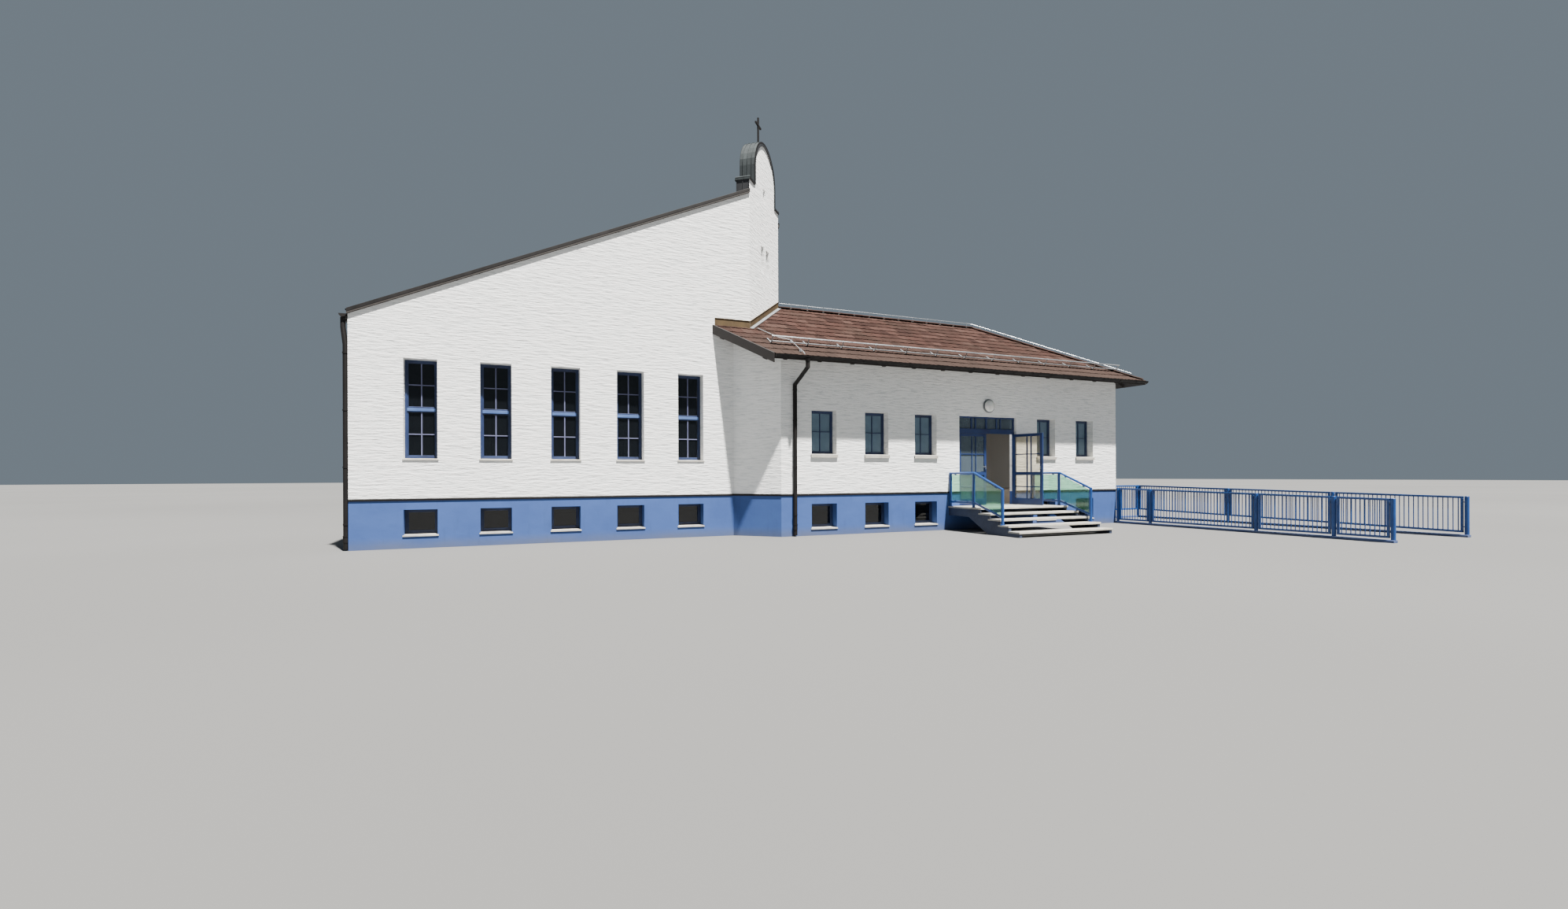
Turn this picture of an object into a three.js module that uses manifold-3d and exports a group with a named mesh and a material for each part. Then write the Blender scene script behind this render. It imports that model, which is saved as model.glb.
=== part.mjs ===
// A small modern church: a nave with a cut corner that carries a bell gable, and a low entrance wing.
// Millimetres, +Z up. The front faces -Y, and the origin is at ground level under the nave.
import * as THREE from 'three';
import { mergeVertices } from 'three/addons/utils/BufferGeometryUtils.js';
import Module from 'manifold-3d';

const wasm = await Module();
wasm.setup();

// Levels above the ground
const ground = 0;
const plinthTop = 1060;
const floorThickness = 220;
const entranceLevel = 669;
const slabTop = 120;
const jointGap = 0.3;

// Nave plan and roof
const naveLeft = -9790;
const naveRight = 813;
const naveFront = -3500;
const naveRear = 7410;
const naveWall = 330;
const cutNear = [-815, naveFront];
const cutFar = [naveRight, -1561];
const naveEaveTop = 4967;
const naveSlope = Math.tan(THREE.MathUtils.degToRad(24));
const naveRoofThickness = 80;
const naveEaveOverhang = 20;
const naveVergeOverhang = 40;
const innerDoor = { front: -900, rear: 100, height: 2100 };
const cutReach = 100;

// Bell gable on the cut corner, measured along its face and square to it
const gableThickness = 370;
const gableShoulder = 9330;
const gableShoulderWidth = 400;
const gableArchSpring = 9880;
const archSteps = 16;
const capThickness = 50;
const capLip = 25;
const gableSlots = [[940, 1170, 7150, 7895], [1375, 1640, 7150, 7895], [1120, 1320, 9160, 9530]];
const crossTop = 11600;
const crossArm = 11363;
const crossReach = 220;
const crossBar = 44;

// Wing plan and roof
const wingFront = -4440;
const wingRear = 1400;
const wingRight = 11360;
const wingWall = 290;
const splayStart = [-1283, naveFront];
const splayEnd = [-340, wingFront];
const wingEave = 590;
const wingEaveTop = 4503;
const wingSlope = Math.tan(THREE.MathUtils.degToRad(30.2));
const wingHipRun = 3980;
const wingRoofThickness = 120;
const vergeBoard = { width: 35, below: 210, above: 25 };
const gutterRadius = 70;
const gutterWall = 4;
const gutterSteps = 6;
const pipeRadius = 50;
const pipeSides = 12;
const pipeFoot = 30;
const outletLength = 200;
const swanDrop = 560;
const swanSkew = 0.12;
const wingPipeX = 25;
const wingGutterTop = wingEaveTop - 20;
const naveGutterTop = naveEaveTop - 10;
const vergeTop = [-1800, naveFront];
const vergeFoot = [-755, wingFront - wingEave];

// Windows: width, sill and head
const naveWindow = { width: 653, sill: 1940, head: 4111, columns: 2, rows: 2 };
const naveBasement = { width: 653, sill: 290, head: 838, columns: 1, rows: 1 };
const wingWindow = { width: 729, sill: 2100, head: 3241, columns: 2, rows: 2 };
const wingBasement = { width: 729, sill: 190, head: 815, columns: 1, rows: 1 };
const naveBay = 1508;
const wingBay = 1582;
const wingRightBay = 1576;
// Where each row of windows starts, and how many it has
const naveRows = { front: [-8777, 5], left: [-2142, 6], rear: [-8585, 6], right: [2750, 3] };
const wingRows = { left: [512, 3], right: [8064, 2], rear: [1767, 6] };
const wingEndStarts = [-3130, -640];
const frameDepth = 60;
const frameBar = 46;
const frameClear = 0.5;
const glassSheet = 12;
const sheetMargin = 60;
const overlap = 5;

// Entrance
const doorLeft = 5185;
const doorRight = 7269;
const doorHead = 3241;
const transomFoot = 2752;
const transomTop = 2893;
const frameSetBack = 90;
const doorJamb = 40;
const leafThickness = 50;
const leafOpen = 102;
const hingeReach = 8;
const leafGap = 5;
const meetingGap = 8;
const leafFoot = 10;
const topLight = { wide: 340, outer: 360, narrow: 100, bar: 45, back: 24 };
const paneThickness = 10;
const leafParts = { stile: 80, topRail: 80, midRail: [862, 954], kick: 180, bar: 26, back: 20 };
const leafPanes = { hingeSide: 385, narrow: 110 };
const barrelLength = 110;
const hinges = { foot: 200, head: 300, flag: 20, lap: 2, sides: 12 };
const lockCase = { height: 1096, from: 72, to: 12, reach: 35, half: 75 };
const lampHeight = 3546;
const lampSides = 24;
const lampProfile = [[0, 0], [170, 0], [170, 30], [200, 45], [190, 85], [140, 115], [70, 128], [0, 132]];

// Entrance hall at the landing's level, a trough between the wing's higher floors
const hallLeft = 4560;
const hallRight = 7900;
const hallSide = 150;

// Porch
const porchLeft = 4850;
const porchRight = 7890;
const porchSide = 60;
const landingFront = -5720;
const slabThickness = 40;
const treadCount = 4;
const treadDepth = 375;
const riser = entranceLevel / (treadCount + 1);
const beamWidth = 80;
const beamDepth = 215;
const beamHeel = 1150;
const beamKnee = 424;
const tieWidth = 80;
const tieHeight = 100;
const railHeight = 958;
const railTube = 58;
const railPost = 76;
const lowRailHeight = 157;
const balustradeKnee = -5500;
const balustradeRun = 1080;
const topRailDrop = 437;
const lowRailDrop = 346;

// Fenced ramp at the right end
const fenceNear = 11400;
const fenceFar = 14600;
const fenceBack = -2600;
const fenceEnd = -11720;
const fenceTop = 988;
const fenceFall = 0.0185;
const fenceHeight = 880;
const nearFenceFoot = 100;
const fenceRail = 50;
const fencePost = 90;
const fenceBar = 22;
const fenceBarStep = 97;
const curbWidth = 160;
const curbHeight = 60;
const postRise = 5;
const postSides = 16;
const nearPosts = [-5640, -8740, -10520];
const farPosts = [-5920, -8845];

const group = new THREE.Group();

const colours = {
  stucco: [0xf1f1ee, 0.95, 0],
  plinthBlue: [0x6a86c8, 0.9, 0],
  frameBlue: [0x24407c, 0.5, 0.1],
  railBlue: [0x3f7fc4, 0.45, 0.1],
  tile: [0x7a5548, 0.9, 0],
  darkMetal: [0x33302f, 0.5, 0.6],
  copper: [0x6f7f7a, 0.55, 0.6],
  concrete: [0xc9c6bd, 0.9, 0],
  timber: [0x5b4a3e, 0.8, 0],
  lamp: [0xe4e4e0, 0.3, 0],
};

function addMesh(name, geometry, colour, parent = group) {
  const [color, roughness, metalness] = colours[colour];
  const mesh = new THREE.Mesh(geometry, new THREE.MeshStandardMaterial({ color, roughness, metalness }));
  mesh.name = name;
  parent.add(mesh);
  return mesh;
}

// Solids: every helper returns a closed three.js geometry
function box(x0, x1, y0, y1, z0, z1) {
  const geometry = new THREE.BoxGeometry(1, 1, 1);
  const position = geometry.getAttribute('position');
  for (let i = 0; i < position.count; i += 1) {
    position.setXYZ(i, position.getX(i) < 0 ? x0 : x1, position.getY(i) < 0 ? y0 : y1,
      position.getZ(i) < 0 ? z0 : z1);
  }
  return geometry;
}

function outline(points) {
  return new THREE.Shape(points.map(([a, b]) => new THREE.Vector2(a, b)));
}

function extrude(shape, depth, curveSegments = 12) {
  return new THREE.ExtrudeGeometry(shape, { depth, bevelEnabled: false, curveSegments });
}

// A plan outline raised from z0 to z1
function raisePlan(points, z0, z1) {
  return extrude(outline(points), z1 - z0).translate(0, 0, z0);
}

// An (x, z) outline that runs from y0 to y1
function alongY(shape, y0, y1, curveSegments) {
  return extrude(shape, y1 - y0, curveSegments).rotateX(Math.PI / 2).translate(0, y1, 0);
}

// A (y, z) outline that runs from x0 to x1
function alongX(shape, x0, x1, curveSegments) {
  const turn = new THREE.Matrix4().makeBasis(
    new THREE.Vector3(0, 1, 0), new THREE.Vector3(0, 0, 1), new THREE.Vector3(1, 0, 0));
  return extrude(shape, x1 - x0, curveSegments).applyMatrix4(turn).translate(x0, 0, 0);
}

// A plan outline between two surfaces, each a height or a function of x and y
function betweenSurfaces(points, low, high) {
  const geometry = raisePlan(points, 0, 1);
  const position = geometry.getAttribute('position');
  const level = (surface, x, y) => (typeof surface === 'function' ? surface(x, y) : surface);
  for (let i = 0; i < position.count; i += 1) {
    const x = position.getX(i);
    const y = position.getY(i);
    position.setZ(i, level(position.getZ(i) > 0.5 ? high : low, x, y));
  }
  return geometry;
}

// Moves every side of a plan outline inwards, so that neighbours keep a fine joint
function inset(points, distance = jointGap / 2) {
  const count = points.length;
  const area = points.reduce((sum, [x, y], i) => {
    const [nx, ny] = points[(i + 1) % count];
    return sum + x * ny - nx * y;
  }, 0);
  const ring = area > 0 ? points : [...points].reverse();
  const sides = ring.map(([x, y], i) => {
    const [nx, ny] = ring[(i + 1) % count];
    const length = Math.hypot(nx - x, ny - y);
    const dir = [(nx - x) / length, (ny - y) / length];
    return { dir, at: [x - dir[1] * distance, y + dir[0] * distance] };
  });
  return sides.map((side, i) => {
    const last = sides[(i + count - 1) % count];
    const cross = last.dir[0] * side.dir[1] - last.dir[1] * side.dir[0];
    const t = ((side.at[0] - last.at[0]) * side.dir[1] - (side.at[1] - last.at[1]) * side.dir[0]) / cross;
    return [last.at[0] + last.dir[0] * t, last.at[1] + last.dir[1] * t];
  });
}

// Sweeps a section along a path in a plane, mitred at its corners. A section point is [a, b], with a to the
// left of the path and b out of the plane, and place turns (along, across, out) into x, y and z.
function sweep(section, path, place) {
  const direction = ([px, py], [qx, qy]) => {
    const length = Math.hypot(qx - px, qy - py);
    return [(qx - px) / length, (qy - py) / length];
  };
  const last = path.length - 1;
  const positions = path.flatMap((at, i) => {
    const before = i > 0 ? direction(path[i - 1], at) : direction(at, path[i + 1]);
    const after = i < last ? direction(at, path[i + 1]) : before;
    const sum = [-before[1] - after[1], before[0] + after[0]];
    const scale = 1 / (sum[1] * before[0] - sum[0] * before[1]);
    return section.flatMap(([a, b]) => place(at[0] + sum[0] * scale * a, at[1] + sum[1] * scale * a, b));
  });
  const sides = section.length;
  const faces = [];
  for (let i = 0; i < last; i += 1) {
    for (let j = 0; j < sides; j += 1) {
      const next = (j + 1) % sides;
      const [p, q, r, t] = [i * sides + j, i * sides + next, (i + 1) * sides + next, (i + 1) * sides + j];
      faces.push([p, q, r], [p, r, t]);
    }
  }
  const cap = THREE.ShapeUtils.triangulateShape(section.map(([a, b]) => new THREE.Vector2(a, b)), []);
  const turned = THREE.ShapeUtils.area(section.map(([a, b]) => ({ x: a, y: b }))) < 0;
  for (const [p, q, r] of cap) {
    faces.push(turned ? [p, q, r] : [r, q, p]);
    faces.push((turned ? [r, q, p] : [p, q, r]).map((index) => last * sides + index));
  }
  const geometry = new THREE.BufferGeometry();
  geometry.setAttribute('position', new THREE.BufferAttribute(new Float32Array(positions), 3));
  geometry.setIndex(faces.flat());
  if (volume(geometry) < 0) geometry.setIndex(faces.flatMap(([p, q, r]) => [r, q, p]));
  geometry.computeVertexNormals();
  return geometry;
}

function volume(geometry) {
  const position = geometry.getAttribute('position');
  const corner = (index) => new THREE.Vector3().fromBufferAttribute(position, index);
  const { array } = geometry.getIndex();
  let sum = 0;
  for (let i = 0; i < array.length; i += 3) {
    sum += corner(array[i]).dot(corner(array[i + 1]).cross(corner(array[i + 2]))) / 6;
  }
  return sum;
}

const inPlan = (x, y, z) => [x, y, z];

// Solid for joining and cutting
function solid(geometry) {
  const bare = geometry.clone();
  bare.deleteAttribute('normal');
  bare.deleteAttribute('uv');
  const merged = mergeVertices(bare, 1e-3);
  return new wasm.Manifold(new wasm.Mesh({
    numProp: 3,
    vertProperties: new Float32Array(merged.getAttribute('position').array),
    triVerts: new Uint32Array(merged.getIndex().array),
  }));
}

function fromSolid(body) {
  const { vertProperties, triVerts } = body.getMesh();
  const geometry = new THREE.BufferGeometry();
  geometry.setAttribute('position', new THREE.BufferAttribute(new Float32Array(vertProperties), 3));
  geometry.setIndex(new THREE.BufferAttribute(new Uint32Array(triVerts), 1));
  geometry.computeVertexNormals();
  return geometry;
}

function cut(geometry, cutters) {
  return fromSolid(cutters.reduce((body, cutter) => body.subtract(solid(cutter)), solid(geometry)));
}

function join(geometries) {
  return fromSolid(geometries.slice(1).reduce((body, piece) => body.add(solid(piece)), solid(geometries[0])));
}

// Roof surfaces
const naveLeftSlope = (x) => naveEaveTop + naveSlope * (x - naveLeft);
const naveRearSlope = (x, y) => naveEaveTop + naveSlope * (naveRear - y);
const wingFrontSlope = (x, y) => wingEaveTop + wingSlope * (y - wingFront + wingEave);
const wingRearSlope = (x, y) => wingEaveTop + wingSlope * (wingRear + wingEave - y);
const wingHipRise = (wingSlope * ((wingRear - wingFront) / 2 + wingEave)) / wingHipRun;
const wingHipSlope = (x) => wingEaveTop + wingHipRise * (wingRight + wingEave - x);
const under = (slope, drop) => (x, y) => slope(x, y) - drop;
const joint = jointGap / 2;

// Wing roof in plan: the ridge's end and the triangle of the hip
const wingRidgeEnd = [wingRight + wingEave - wingHipRun, (wingRear + wingFront) / 2];
const wingHipPlan = [[wingRight + wingEave, wingFront - wingEave],
  [wingRight + wingEave, wingRear + wingEave], wingRidgeEnd];

// Cut corner: unit vectors along its face and into the building
const cutLength = Math.hypot(cutFar[0] - cutNear[0], cutFar[1] - cutNear[1]);
const cutAlong = [(cutFar[0] - cutNear[0]) / cutLength, (cutFar[1] - cutNear[1]) / cutLength];
const cutInward = [-cutAlong[1], cutAlong[0]];
const cutPoint = (along, inward) => [
  cutNear[0] + cutAlong[0] * along + cutInward[0] * inward,
  cutNear[1] + cutAlong[1] * along + cutInward[1] * inward,
];
// Where the ends of the gable wall meet the inner faces of its neighbours
const frontEnd = cutPoint(0, naveWall / cutInward[1]);
const rightEnd = cutPoint(cutLength, naveWall / -cutInward[0]);
const hipDiagonal = naveRear + naveLeft;
const hipAlong = (hipDiagonal - cutNear[0] - cutNear[1]) / (cutAlong[0] + cutAlong[1]);

// Windows in a wall along X (between two depths y) or along Y (between two depths x)
function windowHoles(type, starts, across, near, far) {
  const [low, high] = [near - cutReach, far + cutReach];
  return starts.map((start) => (across === 'x'
    ? box(start, start + type.width, low, high, type.sill, type.head)
    : box(low, high, start, start + type.width, type.sill, type.head)));
}

// A window frame with its bars: a block with the panes cut out
function windowFrame(type, start, across, y0, y1) {
  const block = (a0, a1, b0, b1, z0, z1) => (across === 'x' ? box(a0, a1, b0, b1, z0, z1)
    : box(b0, b1, a0, a1, z0, z1));
  const [a0, a1] = [start + frameClear, start + type.width - frameClear];
  const [z0, z1] = [type.sill + frameClear, type.head - frameClear];
  const paneWidth = (a1 - a0 - frameBar * (type.columns + 1)) / type.columns;
  const paneHeight = (z1 - z0 - frameBar * (type.rows + 1)) / type.rows;
  const panes = [];
  for (let column = 0; column < type.columns; column += 1) {
    for (let row = 0; row < type.rows; row += 1) {
      const left = a0 + frameBar + column * (paneWidth + frameBar);
      const foot = z0 + frameBar + row * (paneHeight + frameBar);
      panes.push(block(left, left + paneWidth, y0 - 1, y1 + 1, foot, foot + paneHeight));
    }
  }
  return cut(block(a0, a1, y0, y1, z0, z1), panes);
}

// A sheet of glass that runs along the inner wall faces, with the frames standing in the openings.
// path follows the inner faces with the room on its left. Each run is a wall: its window starts, the axis
// it lies along, its inner face, and -1 or 1 for the way to the outside.
function glazing(type, path, runs) {
  const foot = type.sill - sheetMargin;
  const top = type.head < plinthTop ? type.head + 1 : type.head + sheetMargin;
  const far = jointGap + glassSheet;
  const sheet = sweep([[jointGap, foot], [far, foot], [far, top], [jointGap, top]], path, inPlan);
  const frames = runs.flatMap(([starts, across, inner, outward]) => {
    const ends = [inner - outward * (glassSheet - 1), inner + outward * frameDepth].sort((m, n) => m - n);
    return starts.map((start) => windowFrame(type, start, across, ...ends));
  });
  return join([sheet, ...frames]);
}

const row = ([first, count], step) => Array.from({ length: count }, (_, i) => first + i * step);
const naveFrontStarts = row(naveRows.front, naveBay);
const naveLeftStarts = row(naveRows.left, naveBay);
const naveRearStarts = row(naveRows.rear, naveBay);
const naveRightStarts = row(naveRows.right, naveBay);
const wingLeftStarts = row(wingRows.left, wingBay);
const wingRightStarts = row(wingRows.right, wingRightBay);
const wingRearStarts = row(wingRows.rear, wingBay);

// Nave
const naveInner = {
  left: naveLeft + naveWall,
  right: naveRight - naveWall,
  front: naveFront + naveWall,
  rear: naveRear - naveWall,
};

function naveFrontPlan() {
  return inset([[naveLeft, naveFront], cutNear, frontEnd, [naveInner.left, naveInner.front]]);
}

function buildNaveWalls() {
  const frontHoles = (type) => windowHoles(type, naveFrontStarts, 'x', naveFront, naveInner.front);
  addMesh('nave_front_plinth',
    cut(betweenSurfaces(naveFrontPlan(), ground, plinthTop - joint), frontHoles(naveBasement)), 'plinthBlue');
  addMesh('nave_front_wall',
    cut(betweenSurfaces(naveFrontPlan(), plinthTop + joint, under(naveLeftSlope, joint)),
      frontHoles(naveWindow)), 'stucco');

  const leftPlan = inset([[naveLeft, naveFront], [naveInner.left, naveInner.front],
    [naveInner.left, naveInner.rear], [naveLeft, naveRear]]);
  const leftHoles = [naveBasement, naveWindow].flatMap((type) =>
    windowHoles(type, naveLeftStarts, 'y', naveLeft, naveInner.left));
  addMesh('nave_left_wall',
    cut(betweenSurfaces(leftPlan, ground, under(naveLeftSlope, joint)), leftHoles), 'stucco');

  const rearPlan = inset([[naveLeft, naveRear], [naveInner.left, naveInner.rear],
    [naveInner.right, naveInner.rear], [naveRight, naveRear]]);
  const rearHoles = [naveBasement, naveWindow].flatMap((type) =>
    windowHoles(type, naveRearStarts, 'x', naveInner.rear, naveRear));
  addMesh('nave_rear_wall',
    cut(betweenSurfaces(rearPlan, ground, under(naveRearSlope, joint)), rearHoles), 'stucco');

  const rightPlan = inset([cutFar, [naveRight, naveRear], [naveInner.right, naveInner.rear], rightEnd]);
  const rightHoles = [naveBasement, naveWindow].flatMap((type) =>
    windowHoles(type, naveRightStarts, 'y', naveInner.right, naveRight));
  const doorway = box(naveInner.right - cutReach, naveRight + cutReach, innerDoor.front, innerDoor.rear,
    plinthTop, plinthTop + innerDoor.height);
  addMesh('nave_right_wall',
    cut(betweenSurfaces(rightPlan, ground, under(naveRearSlope, joint)), [...rightHoles, doorway]), 'stucco');
}

function buildNaveFloor() {
  const plan = [[naveInner.left, naveInner.front], frontEnd, cutPoint(0, gableThickness),
    cutPoint(cutLength, gableThickness), rightEnd, [naveInner.right, naveInner.rear],
    [naveInner.left, naveInner.rear]];
  addMesh('nave_floor', raisePlan(inset(plan), plinthTop - floorThickness + joint, plinthTop), 'concrete');
}

function buildNaveRoof() {
  const eaveLeft = naveLeft - naveEaveOverhang;
  const eaveRear = naveRear + naveEaveOverhang;
  const verge = naveFront - naveVergeOverhang;
  const side = naveRight + naveVergeOverhang;
  const hipStart = cutPoint(hipAlong, gableThickness);
  const hipFoot = [eaveLeft, hipDiagonal - eaveLeft];
  const leftPlan = [[eaveLeft, verge], [cutNear[0], verge], cutNear, cutPoint(0, gableThickness), hipStart,
    hipFoot];
  const rearPlan = [hipStart, cutPoint(cutLength, gableThickness), cutFar, [side, cutFar[1]],
    [side, eaveRear], [hipDiagonal - eaveRear, eaveRear]];
  addMesh('nave_roof_left',
    betweenSurfaces(inset(leftPlan), under(naveLeftSlope, 0), under(naveLeftSlope, -naveRoofThickness)),
    'tile');
  addMesh('nave_roof_rear',
    betweenSurfaces(inset(rearPlan), under(naveRearSlope, 0), under(naveRearSlope, -naveRoofThickness)),
    'tile');
}

// Bell gable, built flat along +X and turned onto the cut corner
const archRadius = cutLength / 2 - gableShoulderWidth;

function archRun(grow) {
  const radius = archRadius + grow;
  return Array.from({ length: archSteps + 1 }, (_, i) => {
    const turn = (Math.PI * i) / archSteps;
    return [cutLength / 2 - radius * Math.cos(turn), gableArchSpring + radius * Math.sin(turn)];
  });
}

function gableOutline() {
  const inner = cutLength - gableShoulderWidth;
  return [[0, ground], [cutLength, ground], [cutLength, gableShoulder], [inner, gableShoulder],
    ...archRun(0).reverse(), [gableShoulderWidth, gableShoulder], [0, gableShoulder]];
}

// Metal cap that follows the shoulders and the arch
function capOutline() {
  const left = gableShoulderWidth;
  const right = cutLength - gableShoulderWidth;
  const [low, high] = [gableShoulder + joint, gableShoulder + capThickness];
  return [[-capLip, low], [left - joint, low], ...archRun(joint), [right + joint, low],
    [cutLength + capLip, low], [cutLength + capLip, high], [right + capThickness, high],
    ...archRun(capThickness).reverse(), [left - capThickness, high], [-capLip, high]];
}

function buildGable() {
  const gable = new THREE.Group();
  gable.position.set(cutNear[0], cutNear[1], 0);
  gable.rotation.z = Math.atan2(cutAlong[1], cutAlong[0]);
  group.add(gable);
  const slots = gableSlots.map(([x0, x1, z0, z1]) =>
    box(x0, x1, -cutReach, gableThickness + cutReach, z0, z1));
  addMesh('bell_gable_wall',
    cut(alongY(outline(inset(gableOutline())), joint, gableThickness - joint), slots), 'stucco', gable);
  addMesh('gable_cap', alongY(outline(capOutline()), -capLip, gableThickness + capLip), 'copper', gable);

  const middle = cutLength / 2;
  const depth = gableThickness / 2;
  const half = crossBar / 2;
  const foot = gableArchSpring + archRadius + capThickness + jointGap;
  const cross = join([
    box(middle - half, middle + half, depth - half, depth + half, foot, crossTop),
    box(middle - crossReach, middle + crossReach, depth - half, depth + half, crossArm, crossArm + crossBar),
  ]);
  addMesh('cross', cross, 'darkMetal', gable);
}

// Wing
const wingInner = { front: wingFront + wingWall, rear: wingRear - wingWall, right: wingRight - wingWall };

function splayPlan() {
  const length = Math.hypot(splayEnd[0] - splayStart[0], splayEnd[1] - splayStart[1]);
  const along = [(splayEnd[0] - splayStart[0]) / length, (splayEnd[1] - splayStart[1]) / length];
  const side = [splayStart[0] - along[1] * wingWall, splayStart[1] + along[0] * wingWall];
  const atLevel = (y) => [side[0] + (along[0] * (y - side[1])) / along[1], y];
  return [splayStart, splayEnd, atLevel(wingInner.front), atLevel(naveFront)];
}

function buildWingWalls() {
  const frontTop = under(wingFrontSlope, wingRoofThickness + joint);
  const rearTop = under(wingRearSlope, wingRoofThickness + joint);
  const endTop = under(wingHipSlope, wingRoofThickness + joint);
  const hip = betweenSurfaces(wingHipPlan, endTop, wingHipSlope);
  const splay = splayPlan();
  addMesh('wing_splay_wall', betweenSurfaces(inset(splay), plinthTop + joint, frontTop), 'stucco');

  const leftPlan = inset([splayEnd, [doorLeft, wingFront], [doorLeft, wingInner.front], splay[2]]);
  const rightPlan = inset([[doorRight, wingFront], [wingRight, wingFront],
    [wingInner.right, wingInner.front], [doorRight, wingInner.front]]);
  const holes = (type, starts) => windowHoles(type, starts, 'x', wingFront, wingInner.front);
  const plinthPlan = inset([splay[0], splayEnd, [doorLeft, wingFront], [doorLeft, wingInner.front], splay[2],
    splay[3]]);
  addMesh('wing_front_plinth_left',
    cut(betweenSurfaces(plinthPlan, ground, plinthTop - joint), holes(wingBasement, wingLeftStarts)),
    'plinthBlue');
  addMesh('wing_front_wall_left',
    cut(betweenSurfaces(leftPlan, plinthTop + joint, frontTop), holes(wingWindow, wingLeftStarts)), 'stucco');
  addMesh('wing_front_plinth_right',
    cut(betweenSurfaces(rightPlan, ground, plinthTop - joint), holes(wingBasement, wingRightStarts)),
    'plinthBlue');
  addMesh('wing_front_wall_right', cut(betweenSurfaces(rightPlan, plinthTop + joint, frontTop),
    [hip, ...holes(wingWindow, wingRightStarts)]), 'stucco');
  const doorPlan = inset([[doorLeft, wingFront], [doorRight, wingFront], [doorRight, wingInner.front],
    [doorLeft, wingInner.front]]);
  addMesh('entrance_plinth', betweenSurfaces(doorPlan, ground, entranceLevel), 'plinthBlue');
  addMesh('wing_wall_over_entrance', betweenSurfaces(doorPlan, doorHead, frontTop), 'stucco');

  const endPlan = inset([[wingRight, wingFront], [wingRight, wingRear], [wingInner.right, wingInner.rear],
    [wingInner.right, wingInner.front]]);
  const endHoles = [wingBasement, wingWindow].flatMap((type) =>
    windowHoles(type, wingEndStarts, 'y', wingInner.right, wingRight));
  addMesh('wing_right_wall', cut(betweenSurfaces(endPlan, ground, endTop), endHoles), 'stucco');

  const rearPlan = inset([[naveRight, wingRear], [naveRight, wingInner.rear],
    [wingInner.right, wingInner.rear], [wingRight, wingRear]]);
  const rearHoles = [wingBasement, wingWindow].flatMap((type) =>
    windowHoles(type, wingRearStarts, 'x', wingInner.rear, wingRear));
  addMesh('wing_rear_wall', cut(betweenSurfaces(rearPlan, ground, rearTop), [hip, ...rearHoles]), 'stucco');
}

function buildWingFloors() {
  const underside = plinthTop - floorThickness + joint;
  const splay = splayPlan();
  const leftPlan = [splay[2], [hallLeft + hallSide, wingInner.front], [hallLeft + hallSide, wingInner.rear],
    [naveRight, wingInner.rear], cutFar, cutNear, splay[3]];
  addMesh('wing_floor_left', raisePlan(inset(leftPlan), underside, plinthTop), 'concrete');
  const rightPlan = [[hallRight - hallSide, wingInner.front], [wingInner.right, wingInner.front],
    [wingInner.right, wingInner.rear], [hallRight - hallSide, wingInner.rear]];
  addMesh('wing_floor_right', raisePlan(inset(rightPlan), underside, plinthTop), 'concrete');
  const low = entranceLevel - floorThickness;
  const high = plinthTop - floorThickness - joint;
  const trough = outline([[hallLeft, low], [hallRight, low], [hallRight, high],
    [hallRight - hallSide - joint, high], [hallRight - hallSide - joint, entranceLevel],
    [hallLeft + hallSide + joint, entranceLevel], [hallLeft + hallSide + joint, high], [hallLeft, high]]);
  const rear = wingInner.rear - glassSheet - 3 * jointGap;
  addMesh('entrance_floor', alongY(trough, wingInner.front + joint, rear), 'concrete');
}

// Slab under the whole building; the gable wall is the only wall that stands over it
function buildGroundSlab() {
  const splay = splayPlan();
  const navePlan = [[naveInner.left, naveInner.front], frontEnd, cutPoint(0, gableThickness),
    cutPoint(cutLength, gableThickness), rightEnd, [naveInner.right, naveInner.rear],
    [naveInner.left, naveInner.rear]];
  addMesh('nave_ground_slab', raisePlan(inset(navePlan), ground, slabTop), 'concrete');
  const wingPlan = [splay[2], [wingInner.right, wingInner.front], [wingInner.right, wingInner.rear],
    [naveRight, wingInner.rear], cutFar, cutNear, splay[3]];
  addMesh('wing_ground_slab', raisePlan(inset(wingPlan), ground, slabTop), 'concrete');
}

function buildWingRoof() {
  const frontEave = wingFront - wingEave;
  const rearEave = wingRear + wingEave;
  const endEave = wingRight + wingEave;
  const ridge = wingRidgeEnd[1];
  const slab = (name, plan, slope) => addMesh(name,
    betweenSurfaces(inset(plan), under(slope, wingRoofThickness), slope), 'tile');
  slab('wing_roof_front', [vergeTop, vergeFoot, [endEave, frontEave], wingRidgeEnd, [naveRight, ridge],
    cutFar, cutNear], wingFrontSlope);
  slab('wing_roof_rear', [[naveRight, ridge], wingRidgeEnd, [endEave, rearEave], [naveRight, rearEave]],
    wingRearSlope);
  slab('wing_roof_hip', wingHipPlan, wingHipSlope);

  // Dark board along the left verge, outside the tiles
  const along = [vergeFoot[0] - vergeTop[0], vergeFoot[1] - vergeTop[1]];
  const length = Math.hypot(...along);
  const out = [along[1] / length, -along[0] / length].map((part) => part * vergeBoard.width);
  const skew = [vergeTop[0] + out[0] + (along[0] * -out[1]) / along[1], vergeTop[1]];
  addMesh('wing_verge_board', betweenSurfaces(
    inset([vergeTop, skew, [vergeFoot[0] + out[0], vergeFoot[1] + out[1]], vergeFoot]),
    under(wingFrontSlope, vergeBoard.below), under(wingFrontSlope, -vergeBoard.above)), 'timber');
}

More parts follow.
